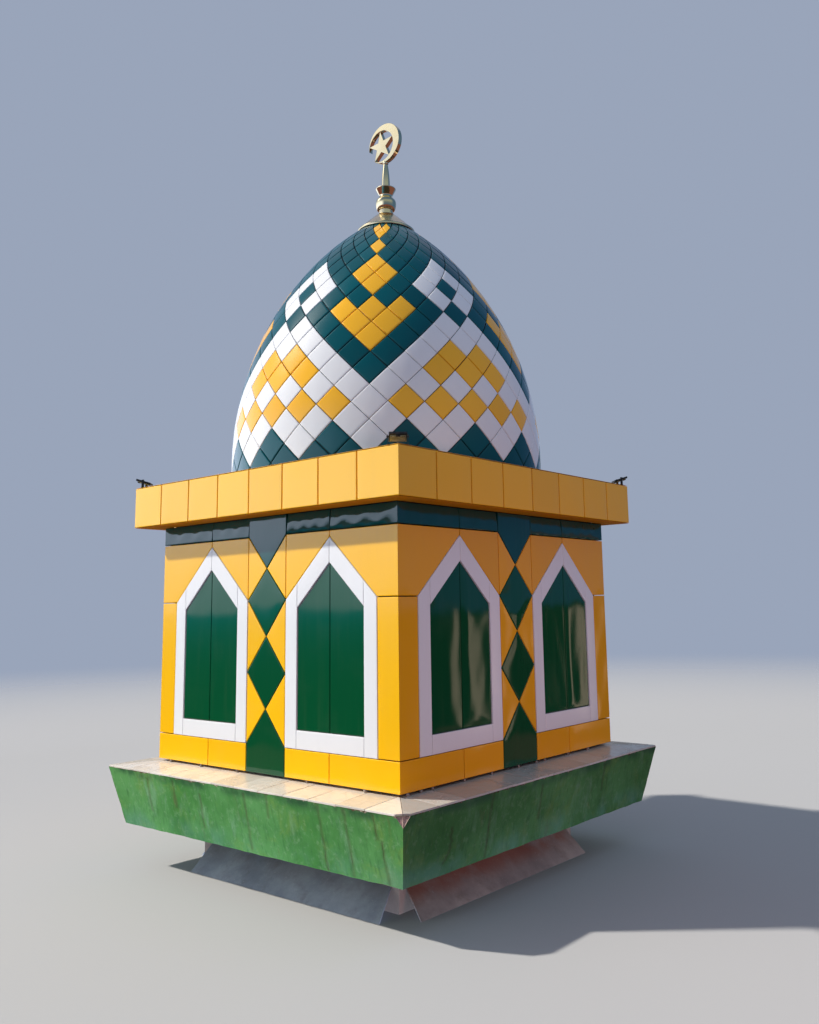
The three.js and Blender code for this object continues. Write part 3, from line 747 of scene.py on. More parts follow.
def on_wall(side, points, face):
    """Points drawn as (across, up, out of the face) set on a side's wall, with mitred corners."""
    depth = face + points[:, 2]
    across = np.clip(points[:, 0], CORNER_JOINT - depth, depth - CORNER_JOINT)
    return on_side(side, across, depth, points[:, 1])


def mirrored(outline, about=0.0):
    return [(2 * about - u, v) for u, v in reversed(outline)]


def both_hands(outlines):
    return outlines + [mirrored(o) for o in outlines]


def rectangle(u0, u1, v0, v1):
    return [(u0, v0), (u1, v0), (u1, v1), (u0, v1)]


def wall_joints(outline, half, joint):
    """The joint of each edge of an outline: those on the building's corner are nearly closed."""
    at_corner = [min(abs(a[0]), abs(b[0])) > half - TOUCH for a, b in edges_of(outline)]
    return [CORNER_JOINT if closed else joint for closed in at_corner]


# Outlines of one side's panels
def yellow_outlines():
    edge = WINDOW_CENTRE + FRAME_HALF
    right_hand = [
        rectangle(STRIP_HALF, WINDOW_CENTRE, WALL_BOTTOM, BASE_TOP),
        rectangle(WINDOW_CENTRE, WALL, WALL_BOTTOM, BASE_TOP),
        rectangle(edge, WALL, BASE_TOP, SHOULDER_OUT),
        [(edge, SHOULDER_OUT), (WALL, SHOULDER_OUT), (WALL, FRIEZE_BOTTOM), (WINDOW_CENTRE, FRIEZE_BOTTOM),
         (WINDOW_CENTRE, APEX_OUT)],
        [(STRIP_HALF, SHOULDER_OUT), (WINDOW_CENTRE, APEX_OUT), (WINDOW_CENTRE, FRIEZE_BOTTOM),
         (STRIP_HALF, FRIEZE_BOTTOM)],
    ]
    for tip, high, low in zip(DIAMOND_TIPS, (FRIEZE_BOTTOM, *DIAMOND_WAISTS), DIAMOND_WAISTS):
        right_hand.append([(0.0, tip), (STRIP_HALF, low), (STRIP_HALF, high)])
    return both_hands(right_hand)


def green_outlines():
    """The frieze's four trays, and the strip's top, two diamonds and foot."""
    frieze = [rectangle(STRIP_HALF, WINDOW_CENTRE, FRIEZE_BOTTOM, FRIEZE_TOP),
              rectangle(WINDOW_CENTRE, WALL, FRIEZE_BOTTOM, FRIEZE_TOP)]
    s = STRIP_HALF
    tip0, tip1, tip2 = DIAMOND_TIPS
    waist1, waist2, waist3 = DIAMOND_WAISTS
    strip = [
        [(0, tip0), (s, FRIEZE_BOTTOM), (s, FRIEZE_TOP), (-s, FRIEZE_TOP), (-s, FRIEZE_BOTTOM)],
        [(0, tip0), (-s, waist1), (0, tip1), (s, waist1)],
        [(0, tip1), (-s, waist2), (0, tip2), (s, waist2)],
        [(0, tip2), (-s, waist3), (-s, WALL_BOTTOM), (s, WALL_BOTTOM), (s, waist3)],
    ]
    return both_hands(frieze) + strip


def frame_outlines():
    """One window's frame: two jambs, a sill and two sloping heads."""
    c, outer, inner = WINDOW_CENTRE, WINDOW_CENTRE + FRAME_HALF, WINDOW_CENTRE + LEAF_HALF
    slope = (APEX_OUT - SHOULDER_OUT) / FRAME_HALF
    over_jamb = SHOULDER_OUT + slope * (outer - inner)
    half = [
        [(inner, BASE_TOP), (outer, BASE_TOP), (outer, SHOULDER_OUT), (inner, over_jamb)],
        [(c, APEX_IN), (inner, SHOULDER_IN), (inner, over_jamb), (c, APEX_OUT)],
    ]
    sill = rectangle(2 * c - inner, inner, BASE_TOP, LEAF_BOTTOM)
    return both_hands(half + [mirrored(o, c) for o in half] + [sill])


def leaf_outlines():
    c, edge = WINDOW_CENTRE, WINDOW_CENTRE + LEAF_HALF
    leaf = [(c, LEAF_BOTTOM), (edge, LEAF_BOTTOM), (edge, SHOULDER_IN), (c, APEX_IN)]
    return both_hands([leaf, mirrored(leaf, c)])


def build_wall_panels():
    """The drum's cladding. The leaves ripple most, and those in the shade a good deal."""
    kinds = [
        ("yellow", yellow_outlines(), WALL, YELLOW, "yellow_enamel", "yellow_panels", WALL_JOINT),
        ("green", green_outlines(), WALL, GREEN, "green_enamel", "green_frieze", WALL_JOINT),
        ("white", frame_outlines(), FRAME_FACE, WHITE, "white_enamel", "window_frames", FRAME_JOINT),
        ("leaf", leaf_outlines(), LEAF_FACE, GREEN, "green_enamel", "window_leaves", LEAF_JOINT),
    ]
    for kind, outlines, face, material, slot, node, joint in kinds:
        trays = [Tray(o, wall_joints(o, WALL, joint), WALL_BEND, WALL_DEPTH, CELL) for o in outlines]
        for side in SIDES:
            batch, frieze = Batch(), Batch()
            for i, tray in enumerate(trays):
                heights = tray.points[:, 1]
                if kind == "leaf":
                    draws = np.random.default_rng(LEAF_SEEDS[side][i])
                    points = tray.rippled(kind, side, draws)
                    points += tray.rippled("leaf, fine", side, draws) - tray.points
                else:
                    points = tray.rippled(kind, side)
                if kind == "green" and heights.min() > FRIEZE_BOTTOM:
                    tuck(points)
                high = kind == "green" and heights.max() > FRIEZE_BOTTOM
                (frieze if high else batch).add(on_wall(side, points, face), tray.faces, rng.uniform(0, 1))
            # the right side's yellow trays take the darker copy as painted shade
            paint = PAINTED_SHADE_YELLOW if kind == "yellow" and side == "right" else material
            add_piece(batch.mesh(f"{kind}_trays_{side}"), [paint], [f"{node}_{side}"])
            if kind == "green":
                add_piece(frieze.mesh(f"frieze_trays_{side}"), [FRIEZE_GREEN], [f"{node}_{side}"])


def tuck(points):
    """Lets a frieze tray's face fall back unevenly towards its top edge, and on one half its foot too."""
    phase, pitch = rng.uniform(0, 2 * math.pi), rng.uniform(0.11, 0.24)
    wave = 0.5 + 0.5 * np.sin(2 * math.pi * points[:, 0] / pitch + phase)
    foot = TUCK_FOOT if points[:, 0].mean() > 0 else 0.0
    crest = FRIEZE_BOTTOM + CREST_LOW + CREST_SWING * wave
    above = np.clip((points[:, 1] - crest) / (FRIEZE_TOP - crest), 0.0, 1.0)
    below = np.clip((crest - points[:, 1]) / (crest - FRIEZE_BOTTOM), 0.0, 1.0)
    face = (points[:, 2] > -WALL_BEND - TOUCH) * smoothstep((WALL - np.abs(points[:, 0])) / TUCK_END)
    fall = above ** TUCK_CURVE * (TUCK_TOP + TUCK_SWING * wave) + below ** TUCK_CURVE * foot
    points[:, 2] -= face * fall


def build_cornice():
    """The cornice's fascia, soffit and top return, in trays of one width with mitred corners."""
    lines = np.linspace(-CORNICE, CORNICE, CORNICE_PANELS + 1).tolist()
    bays = list(zip(lines, lines[1:]))
    fascia = [rectangle(*bay, SOFFIT, CORNICE_TOP) for bay in bays]
    fascia = [Tray(o, wall_joints(o, CORNICE, CORNICE_JOINT), WALL_BEND, WALL_DEPTH, CELL) for o in fascia]

    def flat(inner):
        outlines = [mitred(rectangle(*bay, inner, CORNICE)) for bay in bays]
        return [Tray(o, *FLAT_TRAY) for o in outlines if len(o) > 2]

    soffit, lid = flat(WALL - SOFFIT_OVERLAP), flat(CORNICE - RETURN_DEPTH)
    for side in SIDES:
        batch, under = Batch(), Batch()
        for tray in fascia:
            batch.add(on_wall(side, tray.rippled("cornice", side), CORNICE), tray.faces, rng.uniform(0, 1))
        for tray in soffit:
            u, v, out = tray.points.T
            under.add(on_side(side, u, v - FLAT_SET_BACK, SOFFIT - out), tray.faces, rng.uniform(0, 1))
        for tray in lid:
            u, v, out = tray.points.T
            batch.add(on_side(side, u, v - FLAT_SET_BACK, CORNICE_TOP + RETURN_RISE + out), tray.faces)
        # painted shade: the shaded sides' cornice is given the darker dome yellow
        paint = SUNNY_SIDE_CORNICE_YELLOW if side in SUNNY else DOME_YELLOW
        add_piece(batch.mesh(f"cornice_trays_{side}"), [paint], [f"cornice_{side}"])
        # the soffit trays carry the painted shade under the cornice
        add_piece(under.mesh(f"soffit_trays_{side}"), [SOFFIT_PAINTED_SHADE_YELLOW], [f"cornice_{side}"])


# Dome
def dome_profile(length):
    """Radius, height and slope of the dome at a length along its profile from the rows' base line."""
    upright = DOME_SPRING - DOME_BASE_LINE
    bend = np.maximum(0.0, (length - upright) / DOME_ARC)
    radius = DOME_RADIUS - DOME_ARC + DOME_ARC * np.cos(bend)
    height = np.where(length <= upright, DOME_BASE_LINE + length, DOME_SPRING + DOME_ARC * np.sin(bend))
    return radius, height, bend


def on_dome(column, length, out):
    radius, height, bend = dome_profile(length)
    turn = PATTERN_TURN + column * 2 * math.pi / DOME_COLUMNS
    radius = radius + out * np.cos(bend)
    return np.stack([radius * np.sin(turn), -radius * np.cos(turn), height + out * np.sin(bend)], 1)


def diamond_colour(row, column):
    half = PATTERN_COLUMNS / 2
    place = (column + half) % PATTERN_COLUMNS - half
    if abs(column) <= half and (row, place) in ODD_DIAMONDS:
        return ODD_DIAMONDS[(row, place)]
    return ROWS[row][int(abs(place))]


def build_dome():
    """Diamond trays on a lattice of thirty columns, over a plain backing shell."""
    looks = {"T": ("teal", TEAL), "W": ("white", WHITE), "Y": ("yellow", DOME_YELLOW)}
    batches = {colour: Batch() for colour in looks}
    foot = DOME_FOOT - DOME_BASE_LINE
    half_up = DOME_LEVEL / 2
    for row in ROWS:
        middle = (1.5 + row / 2) * DOME_LEVEL
        width = dome_profile(np.clip(middle, foot, DOME_TOP_LENGTH))[0] * 2 * math.pi / DOME_COLUMNS
        outline = [(-width / 2, 0.0), (0.0, -half_up), (width / 2, 0.0), (0.0, half_up)]
        outline = clipped(outline, (0, -1), middle - foot)
        outline = tidied(clipped(outline, (0, 1), DOME_TOP_LENGTH - middle))
        if len(outline) < 3:
            continue
        size = np.clip(width / FULL_WIDTH, SMALLEST, 1.0)
        shape = (DOME_BEND * size, DOME_DEPTH, DOME_CELL)
        trays = {colour: Tray(outline, joint, *shape) for colour, joint in DOME_JOINTS.items()}
        for i in range(DOME_COLUMNS):
            column = i - DOME_COLUMNS // 2 + row % 2 / 2
            colour = diamond_colour(row, column)
            points = trays[colour].bent(DOME_BULGE * size, DOME_RIPPLE * size, DOME_WAVE, DOME_WAVE)
            tilt = rng.normal(0, DOME_TILT, 2)
            out = points[:, 2] + (points[:, :2] @ tilt) * (points[:, 2] > -DOME_DEPTH / 2)
            place = on_dome(column + points[:, 0] / width, middle + points[:, 1], out)
            batches[colour].add(place, trays[colour].faces, rng.uniform(0, 1))
    for colour, (word, material) in looks.items():
        add_piece(batches[colour].mesh(f"dome_trays_{word}"), [material], ["dome"])
    lengths = np.linspace(foot, DOME_TOP_LENGTH, BACKING_RINGS)
    front = np.full(BACKING_RINGS, -PATTERN_TURN * DOME_COLUMNS / 2 / math.pi)
    outer, inner = (on_dome(front, lengths, out) for out in (BACKING_OVERLAP - DOME_DEPTH, -DOME_SHELL))
    profile = [(-p[1], p[2]) for p in (*outer, *inner[::-1], outer[0])]
    add_piece(lathe_mesh("dome_backing", profile, 120), [BACKING], ["dome"])


# Finial
def flowing(points, steps=6):
    """A smooth curve through points, for one stretch of a profile between two sharp edges."""
    p = [np.array(q, float) for q in points]
    p = [2 * p[0] - p[1], *p, 2 * p[-1] - p[-2]]
    curve = []
    for a, b, c, d in zip(p, p[1:], p[2:], p[3:]):
        for t in np.arange(steps) / steps:
            curve.append(0.5 * (2 * b + (c - a) * t + (2 * a - 5 * b + 4 * c - d) * t * t
                                + (3 * b - a - 3 * c + d) * t ** 3))
    return [tuple(q) for q in curve] + [tuple(points[-1])]


def add_turned(name, profile, height, material, node, count=96):
    """A gilt part turned from a profile that is drawn above a height."""
    mesh = lathe_mesh(name, [(r, height + z) for r, z in profile], count)
    add_piece(mesh, [material], [node])


def build_finial():
    r = CAP_RADIUS
    peak = MAST_FOOT - CAP_RIM
    cap = [(0.0, 0.095), (0.130, 0.083), (0.225, 0.014)]
    cap += flowing([(0.236, 0.003), (r - 0.004, 0.0), (r, 0.004), (r, 0.017), (r - 0.003, 0.022)], 4)
    cap += [(r - 0.008, 0.0235)]
    cap += flowing([(r - 0.012, 0.025), (0.168, 0.090), (0.100, 0.151), (0.073, 0.173)])
    cap += [(0.067, 0.176), (0.067, 0.183), (0.060, 0.186), (0.060, peak), (0.0, peak)]
    add_turned("gilt_cap", cap, CAP_RIM, CAP_GOLD, "finial_cap")
    peak = MAST_TOP - MAST_FOOT
    mast = [(0.0, 0.0003), (0.064, 0.0003)]
    mast += flowing([(0.068, 0.001), (0.076, 0.005), (0.082, 0.018), (0.086, 0.038), (0.088, 0.060),
                     (0.086, 0.079), (0.080, 0.092), (0.070, 0.103), (0.060, 0.118), (0.056, 0.131)])
    mast += [(0.0565, 0.1345), (0.0585, 0.1380), (0.0850, 0.1890)]
    mast += flowing([(0.0865, 0.192), (0.085, 0.197), (0.080, 0.199)], 3)
    mast += [(0.038, 0.2015)]
    mast += flowing([(0.037, 0.203), (0.034, 0.290), (0.028, 0.360), (0.018, peak)])
    mast += [(0.0, peak)]
    add_turned("gilt_mast", mast, MAST_FOOT, GOLD, "finial_mast")
    build_emblem()
    socket = flowing([(0.024, -0.012), (0.025, 0.0), (0.021, 0.014)], 4)
    socket = [(0.0, -0.012), *socket, (0.0, 0.014)]
    add_turned("gilt_socket", socket, EMBLEM_CENTRE - EMBLEM_RADIUS, GOLD, "finial_crescent_star", 48)


def polar(radius, turn):
    return np.array((radius * math.cos(turn), radius * math.sin(turn)))


def star_mesh(centre):
    """An upright plate that faces the front, with its edges bevelled."""
    bm = bmesh.new()
    verts = []
    for i in range(10):
        x, z = centre + polar(STAR_NOTCH if i % 2 else STAR_TIPS, STAR_TURN + i * math.pi / 5)
        verts.append(bm.verts.new((x, -STAR_THICK / 2, z + EMBLEM_CENTRE)))
    made = bmesh.ops.extrude_face_region(bm, geom=[bm.faces.new(verts)])["geom"]
    made = [v for v in made if isinstance(v, bmesh.types.BMVert)]
    bmesh.ops.translate(bm, vec=(0, STAR_THICK, 0), verts=made)
    bmesh.ops.recalc_face_normals(bm, faces=bm.faces)
    rims = [e for e in bm.edges if any(abs(f.normal.y) > 0.9 for f in e.link_faces)]
    bevelled(bm, rims, STAR_BEVEL)
    return finished(bm, bpy.data.meshes.new("gilt_star"), 14)


def crescent_mesh(outside, inside):
    """A closed bar with rounded edges between two arcs of equally many points, thin at both tips."""
    points = []
    half = EMBLEM_THICK / 2
    for (xo, zo), (xi, zi) in zip(outside, inside):
        across = Vector((xi - xo, zi - zo))
        width = across.length
        across.normalize()
        b = min(CRESCENT_BEVEL, 0.3 * width)
        quarter = [(width - b, -half), (width - 0.3 * b, 0.3 * b - half), (width, b - half)]
        right = quarter + [(w, -y) for w, y in quarter[::-1]]
        section = right + [(width - w, -y) for w, y in right]
        points += [(xo + across.x * w, y, zo + across.y * w + EMBLEM_CENTRE) for w, y in section]
    n = len(section)
    tips = [list(range(n)), [len(points) - 1 - i for i in range(n)]]
    return mesh_of("gilt_crescent", points, tips + bands(len(outside), n), sharp=18.0)


def build_emblem():
    """A crescent nearly closed round a star whose points run into it."""
    hollow = polar(EMBLEM_OFFSET, EMBLEM_OPENING)
    chord = EMBLEM_RADIUS ** 2 + EMBLEM_OFFSET ** 2 - EMBLEM_HOLLOW ** 2
    gape = math.acos(chord / (2 * EMBLEM_RADIUS * EMBLEM_OFFSET)) + TIP_GAP
    inner_gape = math.atan2(EMBLEM_RADIUS * math.sin(gape), EMBLEM_RADIUS * math.cos(gape) - EMBLEM_OFFSET)

    def arc(centre, radius, start):
        turns = np.linspace(start, 2 * math.pi - start, EMBLEM_STEPS)
        return [centre + polar(radius, EMBLEM_OPENING + turn) for turn in turns]

    crescent = crescent_mesh(arc(0, EMBLEM_RADIUS, gape), arc(hollow, EMBLEM_HOLLOW, inner_gape))
    for mesh in (crescent, star_mesh(hollow)):
        add_piece(mesh, [GOLD], ["finial_crescent_star"])


# Ledge
def divided(a, b, cell):
    """Points along a straight line, the last one left out."""
    parts = max(1, math.ceil(math.dist(a, b) / cell))
    return [(a[0] + (b[0] - a[0]) * i / parts, a[1] + (b[1] - a[1]) * i / parts) for i in range(parts)]


def build_ledge():
    """Concrete ledge with an uneven face, a soffit and mitred ends, and the near corner knocked off."""
    under = LEDGE_TOP_WALL - LEDGE_SLAB
    lip = LEDGE_BOTTOM_HALF - LEDGE_FASCIA
    corners = [(LEDGE_INNER, under), (lip + LEAN * (under - LEDGE_BOTTOM), under), (lip, LEDGE_BOTTOM),
               (LEDGE_BOTTOM_HALF, LEDGE_BOTTOM), (LEDGE_TOP_HALF, LEDGE_TOP_EDGE),
               (CORE_HALF, LEDGE_TOP_WALL), (LEDGE_INNER, LEDGE_TOP_WALL)]
    section = [p for (a, b), cell in zip(edges_of(corners), LEDGE_CELLS) for p in divided(a, b, cell)]
    n = len(section)
    depths, heights = np.array(section).T
    even = np.linspace(-1, 1, LEDGE_STATIONS)
    shares = (1 - EVEN_SHARE) * np.sin(even * math.pi / 2) + EVEN_SHARE * even
    for side in SIDES:
        stations = [on_side(side, share * (depths - MITRE_GAP), depths, heights) for share in shares]
        points = np.concatenate(stations)
        for p in points:
            out = max(abs(p[0]), abs(p[1]))
            if out > lip - 0.001 and p[2] < LEDGE_TOP_EDGE + 0.001:
                spot = Vector(p)
                dent = DENT * (0.5 + 0.5 * noise.fractal(spot * 5.0, 0.8, 2.0, 3))
                dent += FINE_DENT * (0.5 + 0.5 * noise.noise(spot * 26.0))
                p[:2] *= 1 - max(0.0, dent) / out
                p[2] += SAG * noise.noise(spot * 9.0) * (p[2] < LEDGE_BOTTOM + 0.002)
        ends = [list(range(n)), [len(points) - 1 - i for i in range(n)]]
        mesh = mesh_of(f"concrete_ledge_{side}", points, ends + bands(LEDGE_STATIONS, n))
        if side in CHIPPED:
            break_corner(mesh)
        add_piece(mesh, [painted_concrete(side), BROKEN], [f"ledge_{side}"])


def break_corner(mesh):
    """Cuts the near corner off and leaves a rough break in the second material."""
    low_half = LEDGE_TOP_HALF - LEAN * CHIP_DROP
    left = Vector((LEDGE_TOP_HALF - CHIP_LEG, -LEDGE_TOP_HALF, LEDGE_TOP_EDGE))
    right = Vector((LEDGE_TOP_HALF, CHIP_LEG - LEDGE_TOP_HALF, LEDGE_TOP_EDGE))
    low = Vector((low_half, -low_half, LEDGE_TOP_EDGE - CHIP_DROP))
    normal = (low - left).cross(right - left).normalized()
    bm = bmesh.new()
    bm.from_mesh(mesh)
    geometry = bm.verts[:] + bm.edges[:] + bm.faces[:]
    bmesh.ops.bisect_plane(bm, geom=geometry, dist=TOUCH, plane_co=left, plane_no=normal, clear_outer=True)
    rim = [e for e in bm.edges if e.is_boundary]
    made = bmesh.ops.triangle_fill(bm, edges=rim, use_beauty=True)["geom"]
    new_faces = [f for f in made if isinstance(f, bmesh.types.BMFace)]
    for face in new_faces:
        face.material_index = 1
        face.smooth = False
    inner_edges = once(e for f in new_faces for e in f.edges if not e.is_boundary and e not in rim)
    split = bmesh.ops.subdivide_edges(bm, edges=inner_edges, cuts=3, use_grid_fill=True)
    for item in split["geom_inner"]:
        if isinstance(item, bmesh.types.BMVert):
            item.co -= normal * (0.003 + 0.006 * abs(noise.noise(item.co * 60.0)))
    bmesh.ops.recalc_face_normals(bm, faces=bm.faces)
    bm.to_mesh(mesh)
    bm.free()


def tile_height(depth):
    """Level on which the tiles' bed lies, at a distance from the middle."""
    return LEDGE_TOP_WALL + TILE_LIFT - FALL * (depth - CORE_HALF)


def beside_chip(outline, side, gap):
    """A level outline cut back from the broken corner by a gap."""
    if side in CHIPPED:
        hand = 1 if side == "front" else -1
        outline = clipped(outline, (hand, 1), 2 * LEDGE_TOP_HALF - CHIP_LEG - gap)
    return tidied(outline)


def build_tiles():
    """One bed of cream tiles round the wall, with a mitre at each corner and the near corner broken off."""
    for side in SIDES:
        batch = Batch()
        start = FIRST_JOINT + (0.0 if side in CHIPPED else rng.uniform(-FIRST_SHIFT, 0.0))
        joints = [start - TILE_PITCH * i + rng.uniform(-JOINT_SHIFT, JOINT_SHIFT) for i in range(JOINTS)]
        joints = [BEYOND] + [j for j in joints if j > LAST_JOINT] + [-BEYOND]
        for high, low in zip(joints, joints[1:]):
            outline = beside_chip(mitred(rectangle(low, high, TILE_INNER, TILE_OUTER)), side, CHIP_GAP)
            if len(outline) < 3:
                continue
            tray = Tray(outline, *TILE_TRAY)
            tilt = rng.normal(0, TILE_TILT, 2)
            u, v, out = tray.points.T
            lift = (tray.points[:, :2] - tray.points[:, :2].mean(0)) @ tilt
            z = tile_height(v) + TILE_THICK - TILE_DROP + out + lift
            batch.add(on_side(side, u, v, z), tray.faces, rng.uniform(0, 1))
        # the right side's tiles take the darker copy as painted shade
        paint = PAINTED_SHADE_TILE if side == "right" else TILE
        add_piece(batch.mesh(f"tiles_{side}"), [paint], ["ledge_tiles"])
        outline = mitred([(-TILE_OUTER, BED_OUTER), (-TILE_INNER, TILE_INNER), (TILE_INNER, TILE_INNER),
                          (TILE_OUTER, BED_OUTER)])
        bed = Tray(beside_chip(outline, side, BED_GAP), *BED_TRAY)
        u, v, out = bed.points.T
        seed = SIDES.index(side) * 5.0
        rough = np.array([noise.noise(Vector((a * 30, b * 30, seed))) for a, b in zip(u, v)])
        z = tile_height(v) + TILE_THICK - BED_DROP + out + BED_ROUGH * rough * (out > -0.001)
        mesh = mesh_of(f"tile_bed_{side}", on_side(side, u, v, z), bed.faces, [0.5] * len(u))
        add_piece(mesh, [GROUT], ["ledge_tiles"])


def lump(centre, size, seed):
    """A small uneven lump of mortar as points and faces."""
    bm = bmesh.new()
    bmesh.ops.create_icosphere(bm, subdivisions=2, radius=1.0)
    points = []
    for v in bm.verts:
        swell = 1 + 0.35 * noise.noise(v.co * 1.7 + Vector((seed * 3.1, seed * 1.7, seed)))
        points.append([centre[i] + v.co[i] * swell * size[i] / 2 for i in range(3)])
    faces = [[v.index for v in f.verts] for f in bm.faces]
    bm.free()
    return np.array(points), faces


def build_dabs():
    """Dabs of mortar that pack the gap between the tiles and the foot of the cladding."""
    batch = Batch()
    for side, places in DABS.items():
        for place in places:
            depth = WALL - rng.uniform(0.002, 0.008)
            low = tile_height(depth) + TILE_THICK
            middle = (low + WALL_BOTTOM) / 2
            spot = on_side(side, np.array([place]), np.array([depth]), middle)[0]
            along, deep = rng.uniform(0.016, 0.034), rng.uniform(0.014, 0.022)
            high = WALL_BOTTOM - low + 0.006
            size = (deep, along, high) if side in ("right", "left") else (along, deep, high)
            batch.add(*lump(spot, size, place))
    add_piece(batch.mesh("mortar_dabs"), [MORTAR])


# Skirt, neck, core and slab keep their solids
def dress(node, material):
    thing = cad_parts[node]
    thing.data.materials.clear()
    thing.data.materials.append(material)


def dress_nodes():
    for side in SIDES:
        dress(f"neck_wall_{side}", NECK_RENDER_AND_SHADE)
        dress(f"skirt_board_{side}", GREY_BOARD if side in SUNNY else RUDDY_BOARD)
        dress(f"drum_wall_{side}", BACKING)
    dress("roof_slab", MASONRY)


# Floodlights
def box_into(bm, matrix, low, high, bevel, material=0):
    """Adds a block between two corners, bevelled where bevel isn't 0."""
    made = bmesh.ops.create_cube(bm, size=1.0)["verts"]
    for v in made:
        v.co = Vector([low[i] + (v.co[i] + 0.5) * (high[i] - low[i]) for i in range(3)])
    if bevel:
        made = bevelled(bm, once(e for v in made for e in v.link_edges), bevel)
    faces = once(f for v in made for f in v.link_faces)
    for f in faces:
        f.material_index = material
    bmesh.ops.transform(bm, matrix=matrix, verts=once(v for f in faces for v in f.verts))


def pin_into(bm, matrix, place, axis, segments, radii, depth):
    """Adds a pin or a screw's head at a place, along X, Y or Z."""
    quarter = math.pi / 2
    spin = {"X": Matrix.Rotation(quarter, 4, "Y"), "Y": Matrix.Rotation(quarter, 4, "X"), "Z": Matrix()}
    bmesh.ops.create_cone(bm, cap_ends=True, segments=segments, radius1=radii[0], radius2=radii[1],
                          depth=depth, matrix=matrix @ Matrix.Translation(place) @ spin[axis])


def floodlight_mesh(name):
    """A small floodlight on its forked bracket: a shallow cast housing with a recessed glass, and a
    weathered cover plate screwed on its back."""
    bm = bmesh.new()
    a, inner = LAMP_HALF, LAMP_HALF - LAMP_RIM
    tall = LAMP_HALF - 0.019
    level = Matrix()
    tilt = Matrix.Translation((0, 0, LAMP_PIVOT)) @ Matrix.Rotation(LAMP_TILT, 4, "X")
    # housing, the rim round its glass, the glass, and the cover with its four screws and a cable gland
    box_into(bm, tilt, (-a, -0.010, -a), (a, 0.001, a), 0.003)
    for x0, z0, x1, z1 in ((-a, -a, -inner, a), (inner, -a, a, a), (-a, -a, a, -inner), (-a, inner, a, a)):
        box_into(bm, tilt, (x0, 0.0, z0), (x1, 0.005, z1), 0.0012)
    box_into(bm, tilt, (-inner, 0.0, -inner), (inner, 0.0028, inner), 0.0, 1)
    box_into(bm, tilt, (-inner, -0.0145, -tall), (inner, -0.009, tall), 0.0015, 2)
    for x in (0.007 - inner, inner - 0.007):
        for z in (0.007 - tall, tall - 0.007):
            pin_into(bm, tilt, (x, -0.0152, z), "Y", 10, (0.0034, 0.0028), 0.002)
    box_into(bm, tilt, (-0.014, -0.019, a - 0.024), (0.014, -0.009, a - 0.006), 0.002)
    # bracket: its foot, two arms with a knob on each, the pivot between them and the bolt in the foot
    box_into(bm, level, (-ARM, -0.014, 0.0), (ARM, 0.014, ARM_GAUGE), 0.0008)
    for hand in (-1, 1):
        x = -ARM if hand < 0 else ARM - ARM_GAUGE
        box_into(bm, level, (x, -0.010, 0.0), (x + ARM_GAUGE, 0.010, LAMP_PIVOT + 0.012), 0.0008)
        pin_into(bm, level, (hand * (ARM + 0.001), 0, LAMP_PIVOT), "X", 6, (0.0065, 0.0055), 0.008)
    pin_into(bm, level, (0, 0, LAMP_PIVOT), "X", 16, (0.005, 0.005), 2 * ARM)
    pin_into(bm, level, (0, 0, ARM_GAUGE + 0.002), "Z", 6, (0.008, 0.007), 0.006)
    return finished(bm, bpy.data.meshes.new(name), 30)


def build_floodlights():
    for k, corner in enumerate(("near", "right", "far", "left")):
        turn = math.pi / 4 + k * math.pi / 2
        mesh = floodlight_mesh(f"lamp_{corner}")
        place = Vector((LAMP_REACH * math.sin(turn), -LAMP_REACH * math.cos(turn), LAMP_FOOT))
        mesh.transform(Matrix.Translation(place) @ Matrix.Rotation(turn, 4, "Z"))
        add_piece(mesh, [LAMP, LAMP_GLASS, LAMP_COVER], [f"floodlight_{corner}"])


build_wall_panels()
build_cornice()
build_dome()
build_finial()
build_ledge()
build_tiles()
build_dabs()
dress_nodes()
build_floodlights()


# Studio
def stage_mesh(name, points, faces, material, camera=False, diffuse=False, glossy=True):
    """A studio surface, seen only by the kinds of ray that are named. Only one that the camera sees
    casts a shadow."""
    mesh = bpy.data.meshes.new(name)
    mesh.from_pydata([tuple(p) for p in points], [], faces)
    mesh.materials.append(material)
    thing = placed(name, mesh)
    thing.visible_camera, thing.visible_diffuse, thing.visible_glossy = camera, diffuse, glossy
    thing.visible_shadow = camera
    return mesh


def glow(name, colour):
    g = Graph(name, "ShaderNodeEmission")
    g.set(Color=(*colour, 1.0))
    return g.material


def glowing_mesh(name, points, faces, radiance):
    """A screen for reflections whose glow at each point is a function of the point."""
    g = Graph(name, "ShaderNodeEmission")
    g.set(Color=g.attribute("radiance", "Color"))
    mesh = stage_mesh(name, points, faces, g.material)
    layer = mesh.attributes.new("radiance", "FLOAT_COLOR", "POINT")
    layer.data.foreach_set("color", [c for p in points for c in (*radiance(p), 1.0)])


def build_floor():
    """A pale floor that melts into the background with distance from the object. What lies under and
    round the object is dark to its gloss and to its soffits, and lights its skirt."""
    g = Graph("studio_floor")
    g.set(Base_Color=FLOOR_COLOUR, Roughness=0.9, Specular_IOR_Level=0.1)
    distance = g.add("ShaderNodeVectorMath", {0: g.place}, operation="LENGTH").outputs["Value"]
    clear = g.add("ShaderNodeBsdfTransparent").outputs[0]
    blend = g.add("ShaderNodeMixShader", {0: g.span(distance, 9.0, 30.0), 1: g.shader.outputs[0], 2: clear})
    g.feed(g.surface, blend.outputs[0])
    points, faces = turned([(r, -0.0006) for r in (0.02, 8.0, 16.0, 30.0, FLOOR_RADIUS)], 96)
    stage_mesh("floor", points, faces, g.material, camera=True, glossy=False)
    for name, (inner, outer, height, colour, diffuse, glossy) in DISCS.items():
        points, faces = turned([(inner, height), (outer, height)], 48)
        stage_mesh(name, points, faces, glow(name, colour), diffuse=diffuse, glossy=glossy)


